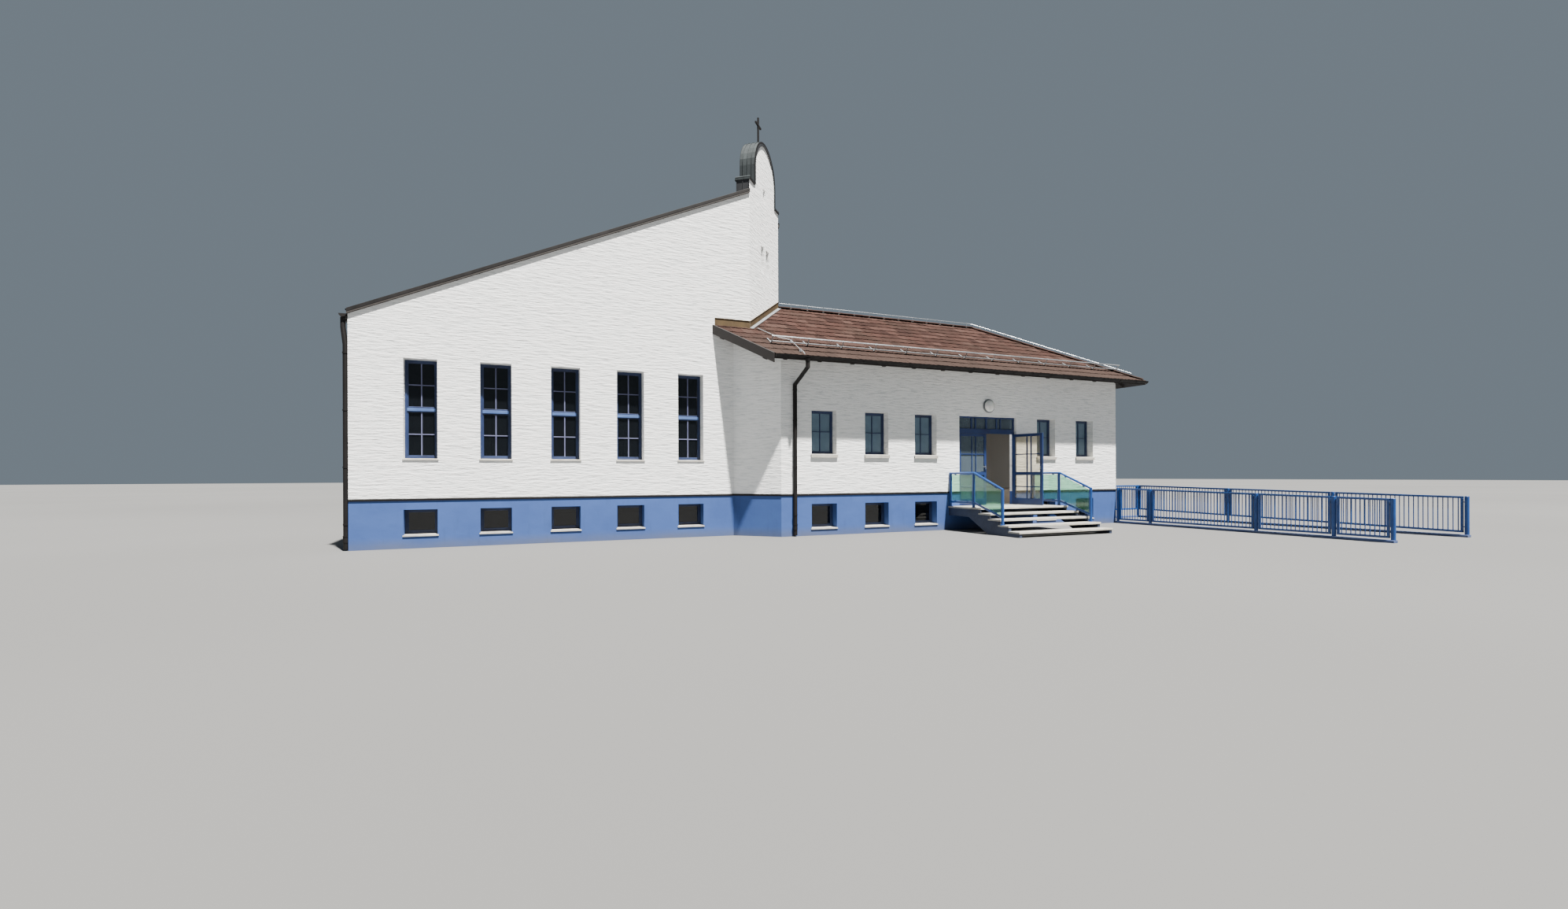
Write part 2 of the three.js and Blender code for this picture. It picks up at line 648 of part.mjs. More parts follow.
// Half-round gutters along the eaves
function gutter(top, path) {
  const arc = (radius) => Array.from({ length: gutterSteps + 1 }, (_, i) => {
    const turn = Math.PI + (Math.PI * i) / gutterSteps;
    return [radius * Math.cos(turn), top + radius * Math.sin(turn)];
  });
  return sweep([...arc(gutterRadius), ...arc(gutterRadius - gutterWall).reverse()], path, inPlan);
}

function buildGutters() {
  const reach = gutterRadius + jointGap;
  const [west, north] = [naveLeft - naveEaveOverhang - reach, naveRear + naveEaveOverhang + reach];
  const naveRoute = [[west, naveFront - naveVergeOverhang], [west, north],
    [naveRight + naveVergeOverhang, north]];
  addMesh('nave_gutter', gutter(naveGutterTop, naveRoute), 'darkMetal');
  const [front, rear, end] = [wingFront - wingEave - reach, wingRear + wingEave + reach,
    wingRight + wingEave + reach];
  addMesh('wing_front_gutter', gutter(wingGutterTop, [[vergeFoot[0], front], [wingRight + wingEave, front]]),
    'darkMetal');
  addMesh('wing_rear_gutter', gutter(wingGutterTop,
    [[end, wingFront - wingEave], [end, rear], [naveRight + 2, rear]]), 'darkMetal');
}

// A round downpipe along a route in an upright plane
function pipe(route, place) {
  const section = Array.from({ length: pipeSides }, (_, i) => {
    const turn = (2 * Math.PI * i) / pipeSides;
    return [pipeRadius * Math.cos(turn), pipeRadius * Math.sin(turn)];
  });
  return sweep(section, route, place);
}

function buildDownpipes() {
  const drop = gutterRadius + jointGap;
  const swan = (gutterLine, wallLine, top) => [[gutterLine, top - drop],
    [gutterLine, top - drop - outletLength], [wallLine, top - drop - swanDrop], [wallLine, pipeFoot]];
  const gutterY = wingFront - wingEave - gutterRadius - jointGap;
  const wallY = wingFront - pipeRadius - jointGap;
  addMesh('wing_downpipe', pipe(swan(gutterY, wallY, wingGutterTop),
    (y, z, x) => [wingPipeX + x + swanSkew * (wallY - y), y, z]), 'darkMetal');
  const gutterX = naveLeft - naveEaveOverhang - gutterRadius - jointGap;
  addMesh('nave_downpipe', pipe(swan(gutterX, naveLeft - pipeRadius - jointGap, naveGutterTop),
    (x, z, y) => [x, naveFront + pipeRadius + y, z]), 'darkMetal');
}

function buildWindows() {
  const storeys = [['windows', naveWindow, wingWindow], ['basement_windows', naveBasement, wingBasement]];
  const reach = (starts, type) => [starts[0] - sheetMargin,
    starts[starts.length - 1] + type.width + sheetMargin];
  for (const [label, nave, wing] of storeys) {
    const add = (name, ...rest) => addMesh(`${name}_${label}`, glazing(...rest), 'frameBlue');
    const straight = (starts, type, y) => reach(starts, type).map((x) => [x, y]);
    add('nave_front', nave, straight(naveFrontStarts, nave, naveInner.front),
      [[naveFrontStarts, 'x', naveInner.front, -1]]);
    const naveRoute = [[naveInner.right, reach(naveRightStarts, nave)[0]], [naveInner.right, naveInner.rear],
      [naveInner.left, naveInner.rear], [naveInner.left, reach(naveLeftStarts, nave)[0]]];
    add('nave_side', nave, naveRoute, [[naveRightStarts, 'y', naveInner.right, 1],
      [naveRearStarts, 'x', naveInner.rear, 1], [naveLeftStarts, 'y', naveInner.left, -1]]);
    add('wing_front_left', wing, straight(wingLeftStarts, wing, wingInner.front),
      [[wingLeftStarts, 'x', wingInner.front, -1]]);
    add('wing_front_right', wing, straight(wingRightStarts, wing, wingInner.front),
      [[wingRightStarts, 'x', wingInner.front, -1]]);
    const wingRoute = [[wingInner.right, reach(wingEndStarts, wing)[0]], [wingInner.right, wingInner.rear],
      [reach(wingRearStarts, wing)[0], wingInner.rear]];
    add('wing_side', wing, wingRoute,
      [[wingEndStarts, 'y', wingInner.right, 1], [wingRearStarts, 'x', wingInner.rear, 1]]);
  }
}

// Entrance frame with its top lights, and a leaf that is drawn closed and turned about its hinge
const frameFace = wingFront + frameSetBack;
const doorMiddle = (doorLeft + doorRight) / 2;

function buildEntranceFrame() {
  const lights = [];
  const lightTop = doorHead - topLight.bar;
  for (const side of [-1, 1]) {
    let from = topLight.bar / 2;
    for (const width of [topLight.wide, topLight.narrow, topLight.outer]) {
      const ends = [doorMiddle + side * from, doorMiddle + side * (from + width)].sort((m, n) => m - n);
      lights.push(box(...ends, frameFace - 1, frameFace + frameDepth + 1, transomTop, lightTop));
      from += width + topLight.bar;
    }
  }
  const doorway = box(doorLeft + doorJamb, doorRight - doorJamb, frameFace - 1, frameFace + frameDepth + 1,
    ground, transomFoot);
  const frame = cut(box(doorLeft + frameClear, doorRight - frameClear, frameFace, frameFace + frameDepth,
    entranceLevel + jointGap, doorHead - frameClear), [doorway, ...lights]);
  const paneFace = frameFace + topLight.back;
  const pane = box(doorLeft + topLight.bar, doorRight - topLight.bar, paneFace, paneFace + paneThickness,
    transomTop - overlap, lightTop + overlap);
  addMesh('entrance_frame', join([frame, pane]), 'frameBlue');
}

// A leaf drawn from its hinge axis at the origin; side is 1 where the leaf runs towards +X
function leafGeometry(side) {
  const { stile, topRail, midRail, kick, bar, back } = leafParts;
  const { hingeSide, narrow } = leafPanes;
  const width = (doorRight - doorLeft) / 2 - doorJamb - leafGap - meetingGap / 2;
  const foot = entranceLevel + leafFoot;
  const top = transomFoot - leafGap;
  const start = hingeReach;
  const end = start + width;
  const [y0, y1] = [hingeReach, hingeReach + leafThickness];
  const block = (a0, a1, b0, b1, z0, z1) => {
    const ends = [side * a0, side * a1].sort((m, n) => m - n);
    return box(...ends, b0, b1, z0, z1);
  };
  const rows = [[kick, midRail[0]], [midRail[1], top - topRail - foot]].flatMap(([low, high]) => {
    const half = (high - low - bar) / 2;
    return [[foot + low, foot + low + half], [foot + high - half, foot + high]];
  });
  const panes = [];
  let from = start + stile;
  for (const paneWidth of [hingeSide, narrow, width - 2 * (stile + bar) - hingeSide - narrow]) {
    for (const [z0, z1] of rows) {
      panes.push(block(from, from + paneWidth, y0 - 1, y1 + 1, z0, z1));
    }
    from += paneWidth + bar;
  }
  const glass = block(start + stile - overlap, end - stile + overlap, y0 + back, y0 + back + paneThickness,
    foot + kick - overlap, top - topRail + overlap);
  const lockAt = entranceLevel + lockCase.height;
  const lock = block(end - lockCase.from, end - lockCase.to, y0 - lockCase.reach, y1 + lockCase.reach,
    lockAt - lockCase.half, lockAt + lockCase.half);
  const barrels = [foot + hinges.foot, (foot + top) / 2, top - hinges.head].flatMap((z) => hinge(block, z));
  return join([cut(block(start, end, y0, y1, foot, top), panes), glass, lock, ...barrels]);
}

// A round barrel on the hinge axis with the flags that carry it
function hinge(block, z) {
  const radius = hingeReach - jointGap;
  const half = barrelLength / 2 - overlap;
  const barrel = new THREE.CylinderGeometry(radius, radius, barrelLength, hinges.sides).rotateX(Math.PI / 2)
    .translate(0, 0, z);
  const end = hingeReach + hinges.flag;
  const { lap } = hinges;
  return [barrel, block(0, end, -lap, hingeReach / 2, z - half, z + half),
    block(end / 2, end, -lap / 2, hingeReach + lap, z - half + lap, z + half - lap)];
}

function buildLeaves() {
  const axisY = frameFace - hingeReach;
  const reach = doorJamb + leafGap - hingeReach;
  const left = addMesh('door_leaf_left', leafGeometry(1), 'frameBlue');
  left.position.set(doorLeft + reach, axisY, 0);
  const right = addMesh('door_leaf_right', leafGeometry(-1), 'frameBlue');
  right.position.set(doorRight - reach, axisY, 0);
  right.rotation.z = THREE.MathUtils.degToRad(leafOpen);
}

function buildLamp() {
  const profile = lampProfile.map(([radius, depth]) => new THREE.Vector2(radius, depth));
  const lamp = addMesh('wall_lamp', new THREE.LatheGeometry(profile, lampSides), 'lamp');
  lamp.rotation.x = Math.PI;
  lamp.position.set(doorMiddle, wingFront - jointGap, lampHeight);
}

const treadTop = (step) => entranceLevel - step * riser;

// Porch: landing and treads on two saw-tooth side beams, with a balustrade over each
function buildPorch() {
  const [x0, x1] = [porchLeft - porchSide, porchRight + porchSide];
  addMesh('porch_landing', box(x0, x1, landingFront, wingFront - jointGap,
    entranceLevel - slabThickness, entranceLevel), 'concrete');
  const teeth = [[wingFront - jointGap, entranceLevel - slabThickness - jointGap],
    [landingFront, entranceLevel - slabThickness - jointGap]];
  for (let step = 1; step <= treadCount; step += 1) {
    const back = landingFront - (step - 1) * treadDepth;
    const top = treadTop(step);
    addMesh(`porch_tread_${step}`, box(x0, x1, back - treadDepth, back - jointGap, top - slabThickness, top),
      'concrete');
    const seat = top - slabThickness - jointGap;
    teeth.push([back, seat], [back - treadDepth, seat]);
  }
  const footY = landingFront - treadCount * treadDepth;
  const beamFoot = entranceLevel - slabThickness - beamDepth;
  teeth.push([footY, ground], [footY + beamHeel, ground], [landingFront + beamKnee, beamFoot],
    [wingFront - jointGap, beamFoot]);
  const beams = [porchLeft, porchRight].map((x) =>
    alongX(outline(teeth), x - beamWidth / 2, x + beamWidth / 2));
  const ties = [landingFront + beamDepth, wingFront - beamDepth].map((y) =>
    box(porchLeft, porchRight, y - tieWidth / 2, y + tieWidth / 2, beamFoot + overlap,
      beamFoot + overlap + tieHeight));
  addMesh('porch_frame', join([...beams, ...ties]), 'plinthBlue');
}

// A balustrade over the landing and down the steps: two rails, three posts and a glass pane
function balustrade(x) {
  const half = railPost / 2;
  const knee = balustradeKnee;
  const foot = knee - balustradeRun;
  const wall = wingFront - jointGap;
  const band = (top, drop) => alongX(outline([[wall, top], [knee, top], [foot, top - drop],
    [foot, top - drop - railTube], [knee, top - railTube], [wall, top - railTube]]), x - railTube / 2,
  x + railTube / 2);
  const post = (y, z0, z1) => box(x - half, x + half, y - half, y + half, z0, z1);
  const topRail = entranceLevel + railHeight;
  const lowRail = entranceLevel + lowRailHeight;
  const [glassTop, glassFoot] = [topRail - 2 * overlap, lowRail - 2 * overlap];
  const glass = outline([[wall - half, glassTop], [knee, glassTop], [foot, glassTop - topRailDrop],
    [foot, glassFoot - lowRailDrop], [knee, glassFoot], [wall - half, glassFoot]]);
  const footTread = Math.ceil((landingFront - foot) / treadDepth);
  return join([
    band(topRail, topRailDrop),
    band(lowRail, lowRailDrop),
    post(wall - half, entranceLevel + jointGap, topRail - overlap),
    post(knee + half, entranceLevel + jointGap, topRail - overlap),
    post(foot, treadTop(footTread) + jointGap, topRail - topRailDrop - overlap),
    alongX(glass, x - paneThickness / 2, x + paneThickness / 2),
  ]);
}

function buildBalustrades() {
  addMesh('balustrade_left', balustrade(porchLeft), 'railBlue');
  addMesh('balustrade_right', balustrade(porchRight), 'railBlue');
}

// Rails of the fences fall towards -Y, with the ground
const fenceTopAt = (y) => fenceTop + fenceFall * (y - fenceEnd);

// A fence run along X or Y on a low curb, with round posts, two rails and upright bars
function fence(from, to, across, posts, footAt) {
  const lengthwise = across.axis === 'y';
  const level = (surface) => (lengthwise ? surface : () => surface(across.at));
  const [top, foot] = [level(fenceTopAt), level(footAt)];
  const plank = (a0, a1, half, low, high) => {
    const side = outline([[a0, low(a0)], [a1, low(a1)], [a1, high(a1)], [a0, high(a0)]]);
    return (lengthwise ? alongX : alongY)(side, across.at - half, across.at + half);
  };
  const post = (at) => {
    const height = top(at) + postRise - curbHeight + overlap;
    const [x, y] = lengthwise ? [across.at, at] : [at, across.at];
    return new THREE.CylinderGeometry(fencePost / 2, fencePost / 2, height, postSides).rotateX(Math.PI / 2)
      .translate(x, y, curbHeight - overlap + height / 2);
  };
  const count = Math.floor((to - from) / fenceBarStep);
  const bars = Array.from({ length: count - 1 }, (_, i) => from + ((i + 1) * (to - from)) / count)
    .filter((at) => posts.every((place) => Math.abs(place - at) > fencePost / 2 + fenceBar))
    .map((at) => plank(at - fenceBar / 2, at + fenceBar / 2, fenceBar / 2, under(foot, -overlap),
      under(top, overlap)));
  return join([
    plank(from, to, curbWidth / 2, () => ground, () => curbHeight),
    plank(from, to, fenceRail / 2, under(top, fenceRail), top),
    plank(from, to, fenceRail / 2, foot, under(foot, -fenceRail)),
    ...posts.map(post),
    ...bars,
  ]);
}

function buildFences() {
  const half = fencePost / 2;
  const start = wingFront - jointGap;
  const farFoot = under(fenceTopAt, fenceHeight);
  addMesh('ramp_fence_near', fence(fenceEnd, start, { axis: 'y', at: fenceNear },
    [start - half, ...nearPosts, fenceEnd + half], () => nearFenceFoot), 'railBlue');
  addMesh('ramp_fence_far', fence(fenceEnd, fenceBack, { axis: 'y', at: fenceFar },
    [fenceBack - half, ...farPosts, fenceEnd + half], farFoot), 'railBlue');
  addMesh('ramp_fence_back', fence(wingRight + jointGap, fenceFar - curbWidth / 2 - jointGap,
    { axis: 'x', at: fenceBack - curbWidth / 2 }, [wingRight + jointGap + half], farFoot), 'railBlue');
}

buildNaveWalls();
buildNaveFloor();
buildNaveRoof();
buildGable();
buildWingWalls();
buildWingFloors();
buildGroundSlab();
buildWingRoof();
buildGutters();
buildDownpipes();
buildWindows();
buildEntranceFrame();
buildLeaves();
buildLamp();
buildPorch();
buildBalustrades();
buildFences();

export default group;
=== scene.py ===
import math
import random

import bmesh
import bpy
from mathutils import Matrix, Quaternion, Vector


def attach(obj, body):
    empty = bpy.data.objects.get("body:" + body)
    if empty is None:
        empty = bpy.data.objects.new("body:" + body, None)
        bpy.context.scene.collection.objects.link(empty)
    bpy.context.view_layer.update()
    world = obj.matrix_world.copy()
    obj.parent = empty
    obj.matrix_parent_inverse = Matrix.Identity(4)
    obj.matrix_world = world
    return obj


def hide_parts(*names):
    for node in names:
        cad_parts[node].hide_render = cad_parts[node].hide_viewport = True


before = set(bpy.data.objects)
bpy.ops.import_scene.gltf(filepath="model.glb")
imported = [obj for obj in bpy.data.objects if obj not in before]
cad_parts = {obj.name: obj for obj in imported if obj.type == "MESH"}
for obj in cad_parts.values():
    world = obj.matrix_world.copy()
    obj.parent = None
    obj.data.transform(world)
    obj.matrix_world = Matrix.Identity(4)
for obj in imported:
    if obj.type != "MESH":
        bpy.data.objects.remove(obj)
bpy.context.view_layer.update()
random.seed(7)

# Sizes shared with the part's source, in metres
UP = (0, 0, 1)
PLINTH_TOP = 1.060
ENTRANCE = 0.669
NAVE_X = (-9.790, 0.813)
NAVE_Y = (-3.500, 7.410)
NAVE_WALL = 0.330
NAVE_EAVE = 5.047
NAVE_SLAB = 0.080
NAVE_SLOPE = math.tan(math.radians(24))
NAVE_OVERHANG = 0.020
NAVE_VERGE_OUT = 0.040
WING_X = (0.813, 11.360)
WING_Y = (-4.440, 1.400)
WING_WALL = 0.290
WING_OVERHANG = 0.590
WING_EAVE = 4.503
WING_SLOPE = math.tan(math.radians(30.2))
CUT_NEAR = Vector((-0.815, -3.500))
CUT_FAR = Vector((0.813, -1.561))
SPLAY = (Vector((-1.283, -3.500)), Vector((-0.340, -4.440)))
GABLE_DEPTH = 0.370
cut_dir = (CUT_FAR - CUT_NEAR).normalized()
cut_in = Vector((-cut_dir.y, cut_dir.x))
CUT_LENGTH = (CUT_FAR - CUT_NEAR).length
EAVE_F = WING_Y[0] - WING_OVERHANG
EAVE_R = WING_Y[1] + WING_OVERHANG
EAVE_E = WING_X[1] + WING_OVERHANG
NAVE_LEFT_EAVE = NAVE_X[0] - NAVE_OVERHANG
NAVE_REAR_EAVE = NAVE_Y[1] + NAVE_OVERHANG
HIP_RUN = 3.980
RIDGE_Y = (EAVE_F + EAVE_R) / 2
RIDGE_END = Vector((EAVE_E - HIP_RUN, RIDGE_Y))
WING_HALF = RIDGE_Y - EAVE_F
RIDGE_Z = WING_EAVE + WING_SLOPE * WING_HALF
HIP_SLOPE = WING_SLOPE * WING_HALF / HIP_RUN
VERGE = (Vector((-1.800, -3.500)), Vector((-0.755, -5.030)))
DOOR_X = (5.185, 7.269)
DOOR_HEAD = 3.241
PIPE_X = 0.025
PIPE_OUT = 0.0503
PIPE_SKEW = 0.12 * (WING_OVERHANG + 0.020)
GUTTER_OUT = 0.0703
WING_GUTTER = WING_EAVE - 0.020
NAVE_GUTTER = 4.957
PORCH_X = (4.850, 7.890)
LANDING_FRONT, TREAD, RISER = -5.720, 0.375, ENTRANCE / 5
FENCE_NEAR, FENCE_FAR, FENCE_BACK, FENCE_END = 11.400, 14.600, -2.680, -11.720
SHOULDER, SHOULDER_W, ARCH_SPRING = 9.330, 0.400, 9.880
ARCH_RADIUS = CUT_LENGTH / 2 - SHOULDER_W
MIDDLE = CUT_LENGTH / 2

# Gaps that keep a piece off the solid behind it
HAIR = 0.0006
SKIN = 0.0008
GAP = 0.0012


# Materials: small helpers round one node tree
class Surface:
    def __init__(self, name, color, rough=0.8, metal=0.0):
        self.mat = bpy.data.materials.new(name)
        self.mat.use_nodes = True
        self.mat.diffuse_color = (*color, 1)
        self.tree = self.mat.node_tree
        self.shader = self.tree.nodes["Principled BSDF"]
        self.set("Base Color", (*color, 1))
        self.set("Roughness", rough)
        self.set("Metallic", metal)
        self.place = self.node("ShaderNodeTexCoord").outputs["Object"]

    def set(self, socket, value):
        self.shader.inputs[socket].default_value = value

    def link(self, source, socket):
        self.tree.links.new(source, self.shader.inputs[socket])

    def node(self, kind, inputs=(), **settings):
        """A new node, with inputs that are values or other nodes' outputs."""
        made = self.tree.nodes.new(kind)
        for key, value in settings.items():
            setattr(made, key, value)
        for key, value in dict(inputs).items():
            if isinstance(value, bpy.types.NodeSocket):
                self.tree.links.new(value, made.inputs[key])
            else:
                made.inputs[key].default_value = value
        return made

    def noise(self, scale, stretch=(1, 1, 1), detail=4, rough=0.55):
        moved = self.node("ShaderNodeMapping", {"Vector": self.place, "Scale": stretch}).outputs[0]
        inputs = {"Vector": moved, "Scale": scale, "Detail": detail, "Roughness": rough}
        return self.node("ShaderNodeTexNoise", inputs).outputs["Fac"]

    def ramp(self, value, *stops):
        ramp = self.node("ShaderNodeValToRGB", {"Fac": value})
        elements = ramp.color_ramp.elements
        while len(elements) < len(stops):
            elements.new(0.5)
        for element, (at, color) in zip(elements, stops):
            element.position = at
            element.color = (*color, 1)
        return ramp.outputs["Color"]

    def mix(self, first, second, factor):
        second = (*second, 1) if isinstance(second, tuple) else second
        return self.node("ShaderNodeMix", {0: factor, 6: first, 7: second}, data_type="RGBA").outputs[2]

    def math(self, operation, first, second):
        return self.node("ShaderNodeMath", {0: first, 1: second}, operation=operation).outputs[0]

    def times(self, first, second):
        return self.math("MULTIPLY", first, second)

    def height(self):
        return self.node("ShaderNodeSeparateXYZ", {0: self.place}).outputs[2]

    def fade(self, value, low, high):
        inputs = {"Value": value, "From Min": low, "From Max": high}
        return self.node("ShaderNodeMapRange", inputs, interpolation_type="SMOOTHSTEP").outputs["Result"]

    def stain(self, tone, color, source, low, high, share):
        """Mixes color in, up to share, where source goes from low to high."""
        return self.mix(tone, color, self.times(self.fade(source, low, high), share))

    def within(self, planes):
        """1 where a * x + b * y + c * z is over d for every (a, b, c, d)."""
        result = 1.0
        for *normal, limit in planes:
            dot = self.node("ShaderNodeVectorMath", {0: self.place, 1: normal}, operation="DOT_PRODUCT")
            result = self.times(result, self.math("GREATER_THAN", dot.outputs["Value"], limit))
        return result

    def color(self, source):
        self.link(source, "Base Color")

    def rough(self, source, low, high):
        inputs = {"Value": source, "To Min": low, "To Max": high}
        self.link(self.node("ShaderNodeMapRange", inputs).outputs["Result"], "Roughness")

    def bump(self, *layers):
        inputs = {}
        for height, strength, distance in layers:
            inputs |= {"Height": height, "Strength": strength, "Distance": distance}
            inputs["Normal"] = self.node("ShaderNodeBump", inputs).outputs["Normal"]
        self.link(inputs["Normal"], "Normal")


PLINTH_BLUES = (0.3, (0.028, 0.070, 0.235)), (0.7, (0.038, 0.092, 0.285))


def make_stucco():
    """White stucco outside, with painted shade in the grooves of its strokes, blue below the plinth's top,
    and plain plaster in the rooms.
    """
    s = Surface("stucco_white", (0.86, 0.86, 0.85), 0.92)
    stroke = s.noise(3.2, (1, 1, 7), 5, 0.62)
    grain = s.noise(38, (1, 1, 1.8), 3, 0.6)
    cloud = s.noise(0.35, (1, 1, 0.6), 3, 0.5)
    # Darker grey where the strokes sink in is painted shade in those grooves, not a colour of the render
    painted_groove_shade = s.ramp(stroke, (0.34, (0.70, 0.72, 0.73)), (0.47, (0.89, 0.90, 0.90)), (0.7, (0.95, 0.95, 0.95)))
    tone = s.mix(painted_groove_shade, (0.84, 0.86, 0.86), s.times(cloud, 0.2))
    nave = [(1, 0, 0, -9.47), (-1, 0, 0, -0.50), (0, 1, 0, -3.19), (0, -1, 0, -7.10), (0, 0, 1, 1.0),
            (NAVE_SLOPE, 0, -1, NAVE_SLOPE * NAVE_X[0] - NAVE_EAVE),
            (0, -NAVE_SLOPE, -1, -NAVE_SLOPE * NAVE_Y[1] - NAVE_EAVE),
            (cut_in.x, cut_in.y, 0, cut_in.dot(CUT_NEAR) + GABLE_DEPTH - 0.01)]
    wing = [(1, 0, 0, -0.05), (-1, 0, 0, -11.08), (0, 1, 0, -4.16), (0, -1, 0, -1.12), (0, 0, 1, 0.6),
            (0, WING_SLOPE, -1, WING_SLOPE * EAVE_F - WING_EAVE),
            (0, -WING_SLOPE, -1, -WING_SLOPE * EAVE_R - WING_EAVE),
            (-cut_in.x, -cut_in.y, 0, -cut_in.dot(CUT_NEAR) - 0.01)]
    inside = s.math("MAXIMUM", s.within(nave), s.within(wing))
    outside = s.math("SUBTRACT", 1.0, inside)
    base = s.times(outside, s.fade(s.height(), PLINTH_TOP + 0.002, PLINTH_TOP - 0.002))
    s.color(s.mix(s.mix(tone, (0.66, 0.64, 0.60), inside), s.ramp(cloud, *PLINTH_BLUES), base))
    s.rough(stroke, 0.84, 0.97)
    s.bump((s.times(stroke, outside), 0.9, 0.03), (grain, 0.25, 0.003))
    return s.mat


def make_plinth():
    s = Surface("plinth_blue", (0.17, 0.28, 0.60), 0.8)
    cloud = s.noise(0.9, (1, 1, 1.6), 5, 0.6)
    streak = s.noise(2.2, (3, 3, 0.5), 4, 0.6)
    tone = s.stain(s.ramp(cloud, *PLINTH_BLUES), (0.024, 0.052, 0.155), streak, 0.52, 0.75, 0.35)
    low = s.fade(s.height(), 0.28, 0.0)
    s.color(s.mix(tone, (0.08, 0.09, 0.12), s.times(low, s.times(cloud, 1.1))))
    s.rough(cloud, 0.62, 0.9)
    s.bump((s.noise(7, detail=5), 0.3, 0.008), (s.noise(60, detail=2), 0.2, 0.002))
    return s.mat


def make_paint(name, dark, light, rough=0.38):
    s = Surface(name, light, rough)
    s.color(s.ramp(s.noise(3.0, detail=5, rough=0.6), (0.3, dark), (0.68, light)))
    s.rough(s.noise(14, detail=3), rough - 0.1, rough + 0.18)
    s.bump((s.noise(90, detail=2), 0.12, 0.001))
    return s.mat


def make_metal(name, dark, light, rough=0.5, metal=0.7, stretch=(1, 1, 0.35), shine=0.5):
    s = Surface(name, light, rough, metal)
    s.set("Specular IOR Level", shine)
    s.color(s.ramp(s.noise(2.4, stretch, 6, 0.62), (0.3, dark), (0.7, light)))
    s.rough(s.noise(9, stretch, 4), rough - 0.14, rough + 0.2)
    s.bump((s.noise(5, detail=3), 0.18, 0.006), (s.noise(120, detail=2), 0.1, 0.0008))
    return s.mat


def make_tiles(name, low_height, high_height):
    """Each tile has its own tone, with clouds, lichen and moss, and darker courses at the eave."""
    s = Surface(name, (0.22, 0.12, 0.095), 0.9)
    s.set("Specular IOR Level", 0.1)
    each = s.node("ShaderNodeNewGeometry").outputs["Random Per Island"]
    cloud = s.noise(0.8, detail=5, rough=0.65)
    lichen = s.noise(11, detail=6, rough=0.7)
    moss = s.noise(26, detail=4, rough=0.7)
    tone = s.ramp(each, (0.0, (0.0190, 0.0083, 0.0063)), (0.35, (0.0280, 0.0129, 0.0099)),
                  (0.7, (0.0370, 0.0170, 0.0131)), (1.0, (0.0504, 0.0267, 0.0212)))
    tone = s.stain(tone, (0.0280, 0.0175, 0.0131), cloud, 0.42, 0.72, 0.55)
    tone = s.stain(tone, (0.0644, 0.0451, 0.0360), lichen, 0.56, 0.70, 0.5)
    tone = s.stain(tone, (0.0134, 0.0092, 0.0063), moss, 0.60, 0.74, 0.6)
    s.color(s.stain(tone, (0.0336, 0.0230, 0.0189), s.height(), high_height, low_height, 0.75))
    s.rough(lichen, 0.75, 0.98)
    s.bump((lichen, 0.4, 0.006), (s.noise(130, detail=3), 0.35, 0.002))
    return s.mat


def make_concrete(name, dark, light, scale=3.0):
    s = Surface(name, light, 0.85)
    cloud = s.noise(scale, detail=6, rough=0.62)
    speck = s.noise(140, detail=2)
    tone = s.ramp(cloud, (0.3, dark), (0.7, light))
    s.color(s.stain(tone, tuple(0.55 * part for part in dark), speck, 0.6, 0.75, 0.5))
    s.rough(cloud, 0.7, 0.95)
    s.bump((cloud, 0.2, 0.006), (speck, 0.3, 0.0015))
    return s.mat


def make_wood(name, dark, light):
    s = Surface(name, light, 0.75)
    grain = s.noise(6, (0.6, 0.6, 9), 6, 0.6)
    s.color(s.ramp(grain, (0.3, dark), (0.7, light)))
    s.rough(grain, 0.6, 0.88)
    s.bump((grain, 0.4, 0.003))
    return s.mat


def make_glass(name, tint, clear, rough=0.02):
    s = Surface(name, tint, rough)
    s.set("Transmission Weight", clear)
    s.set("IOR", 1.45)
    dust = s.noise(5, detail=4)
    s.color(s.ramp(dust, (0.3, tuple(0.86 * part for part in tint)), (0.7, tint)))
    s.rough(dust, rough, rough + 0.04)
    return s.mat


def make_opal():
    s = Surface("opal_glass", (0.84, 0.84, 0.82), 0.25)
    s.set("Subsurface Weight", 0.2)
    s.set("Coat Weight", 0.4)
    dust = s.noise(9, (1, 1, 0.5), 4)
    s.color(s.ramp(dust, (0.3, (0.70, 0.70, 0.68)), (0.65, (0.88, 0.88, 0.86))))
    s.rough(dust, 0.2, 0.4)
    return s.mat


STUCCO = make_stucco()
PLINTH = make_plinth()
FRAME = make_paint("frame_navy", (0.008, 0.016, 0.055), (0.018, 0.036, 0.105))
# The transoms' lighter blue is painted light: the frames' navy paint as it looks lit from above
TRANSOM_PAINTED_LIT = make_paint("transom_blue_painted_lit", (0.045, 0.090, 0.24), (0.075, 0.140, 0.33))
MUNTIN = make_paint("muntin_lilac", (0.075, 0.080, 0.16), (0.120, 0.130, 0.23))
DOOR = make_paint("door_blue", (0.006, 0.018, 0.080), (0.011, 0.032, 0.120))
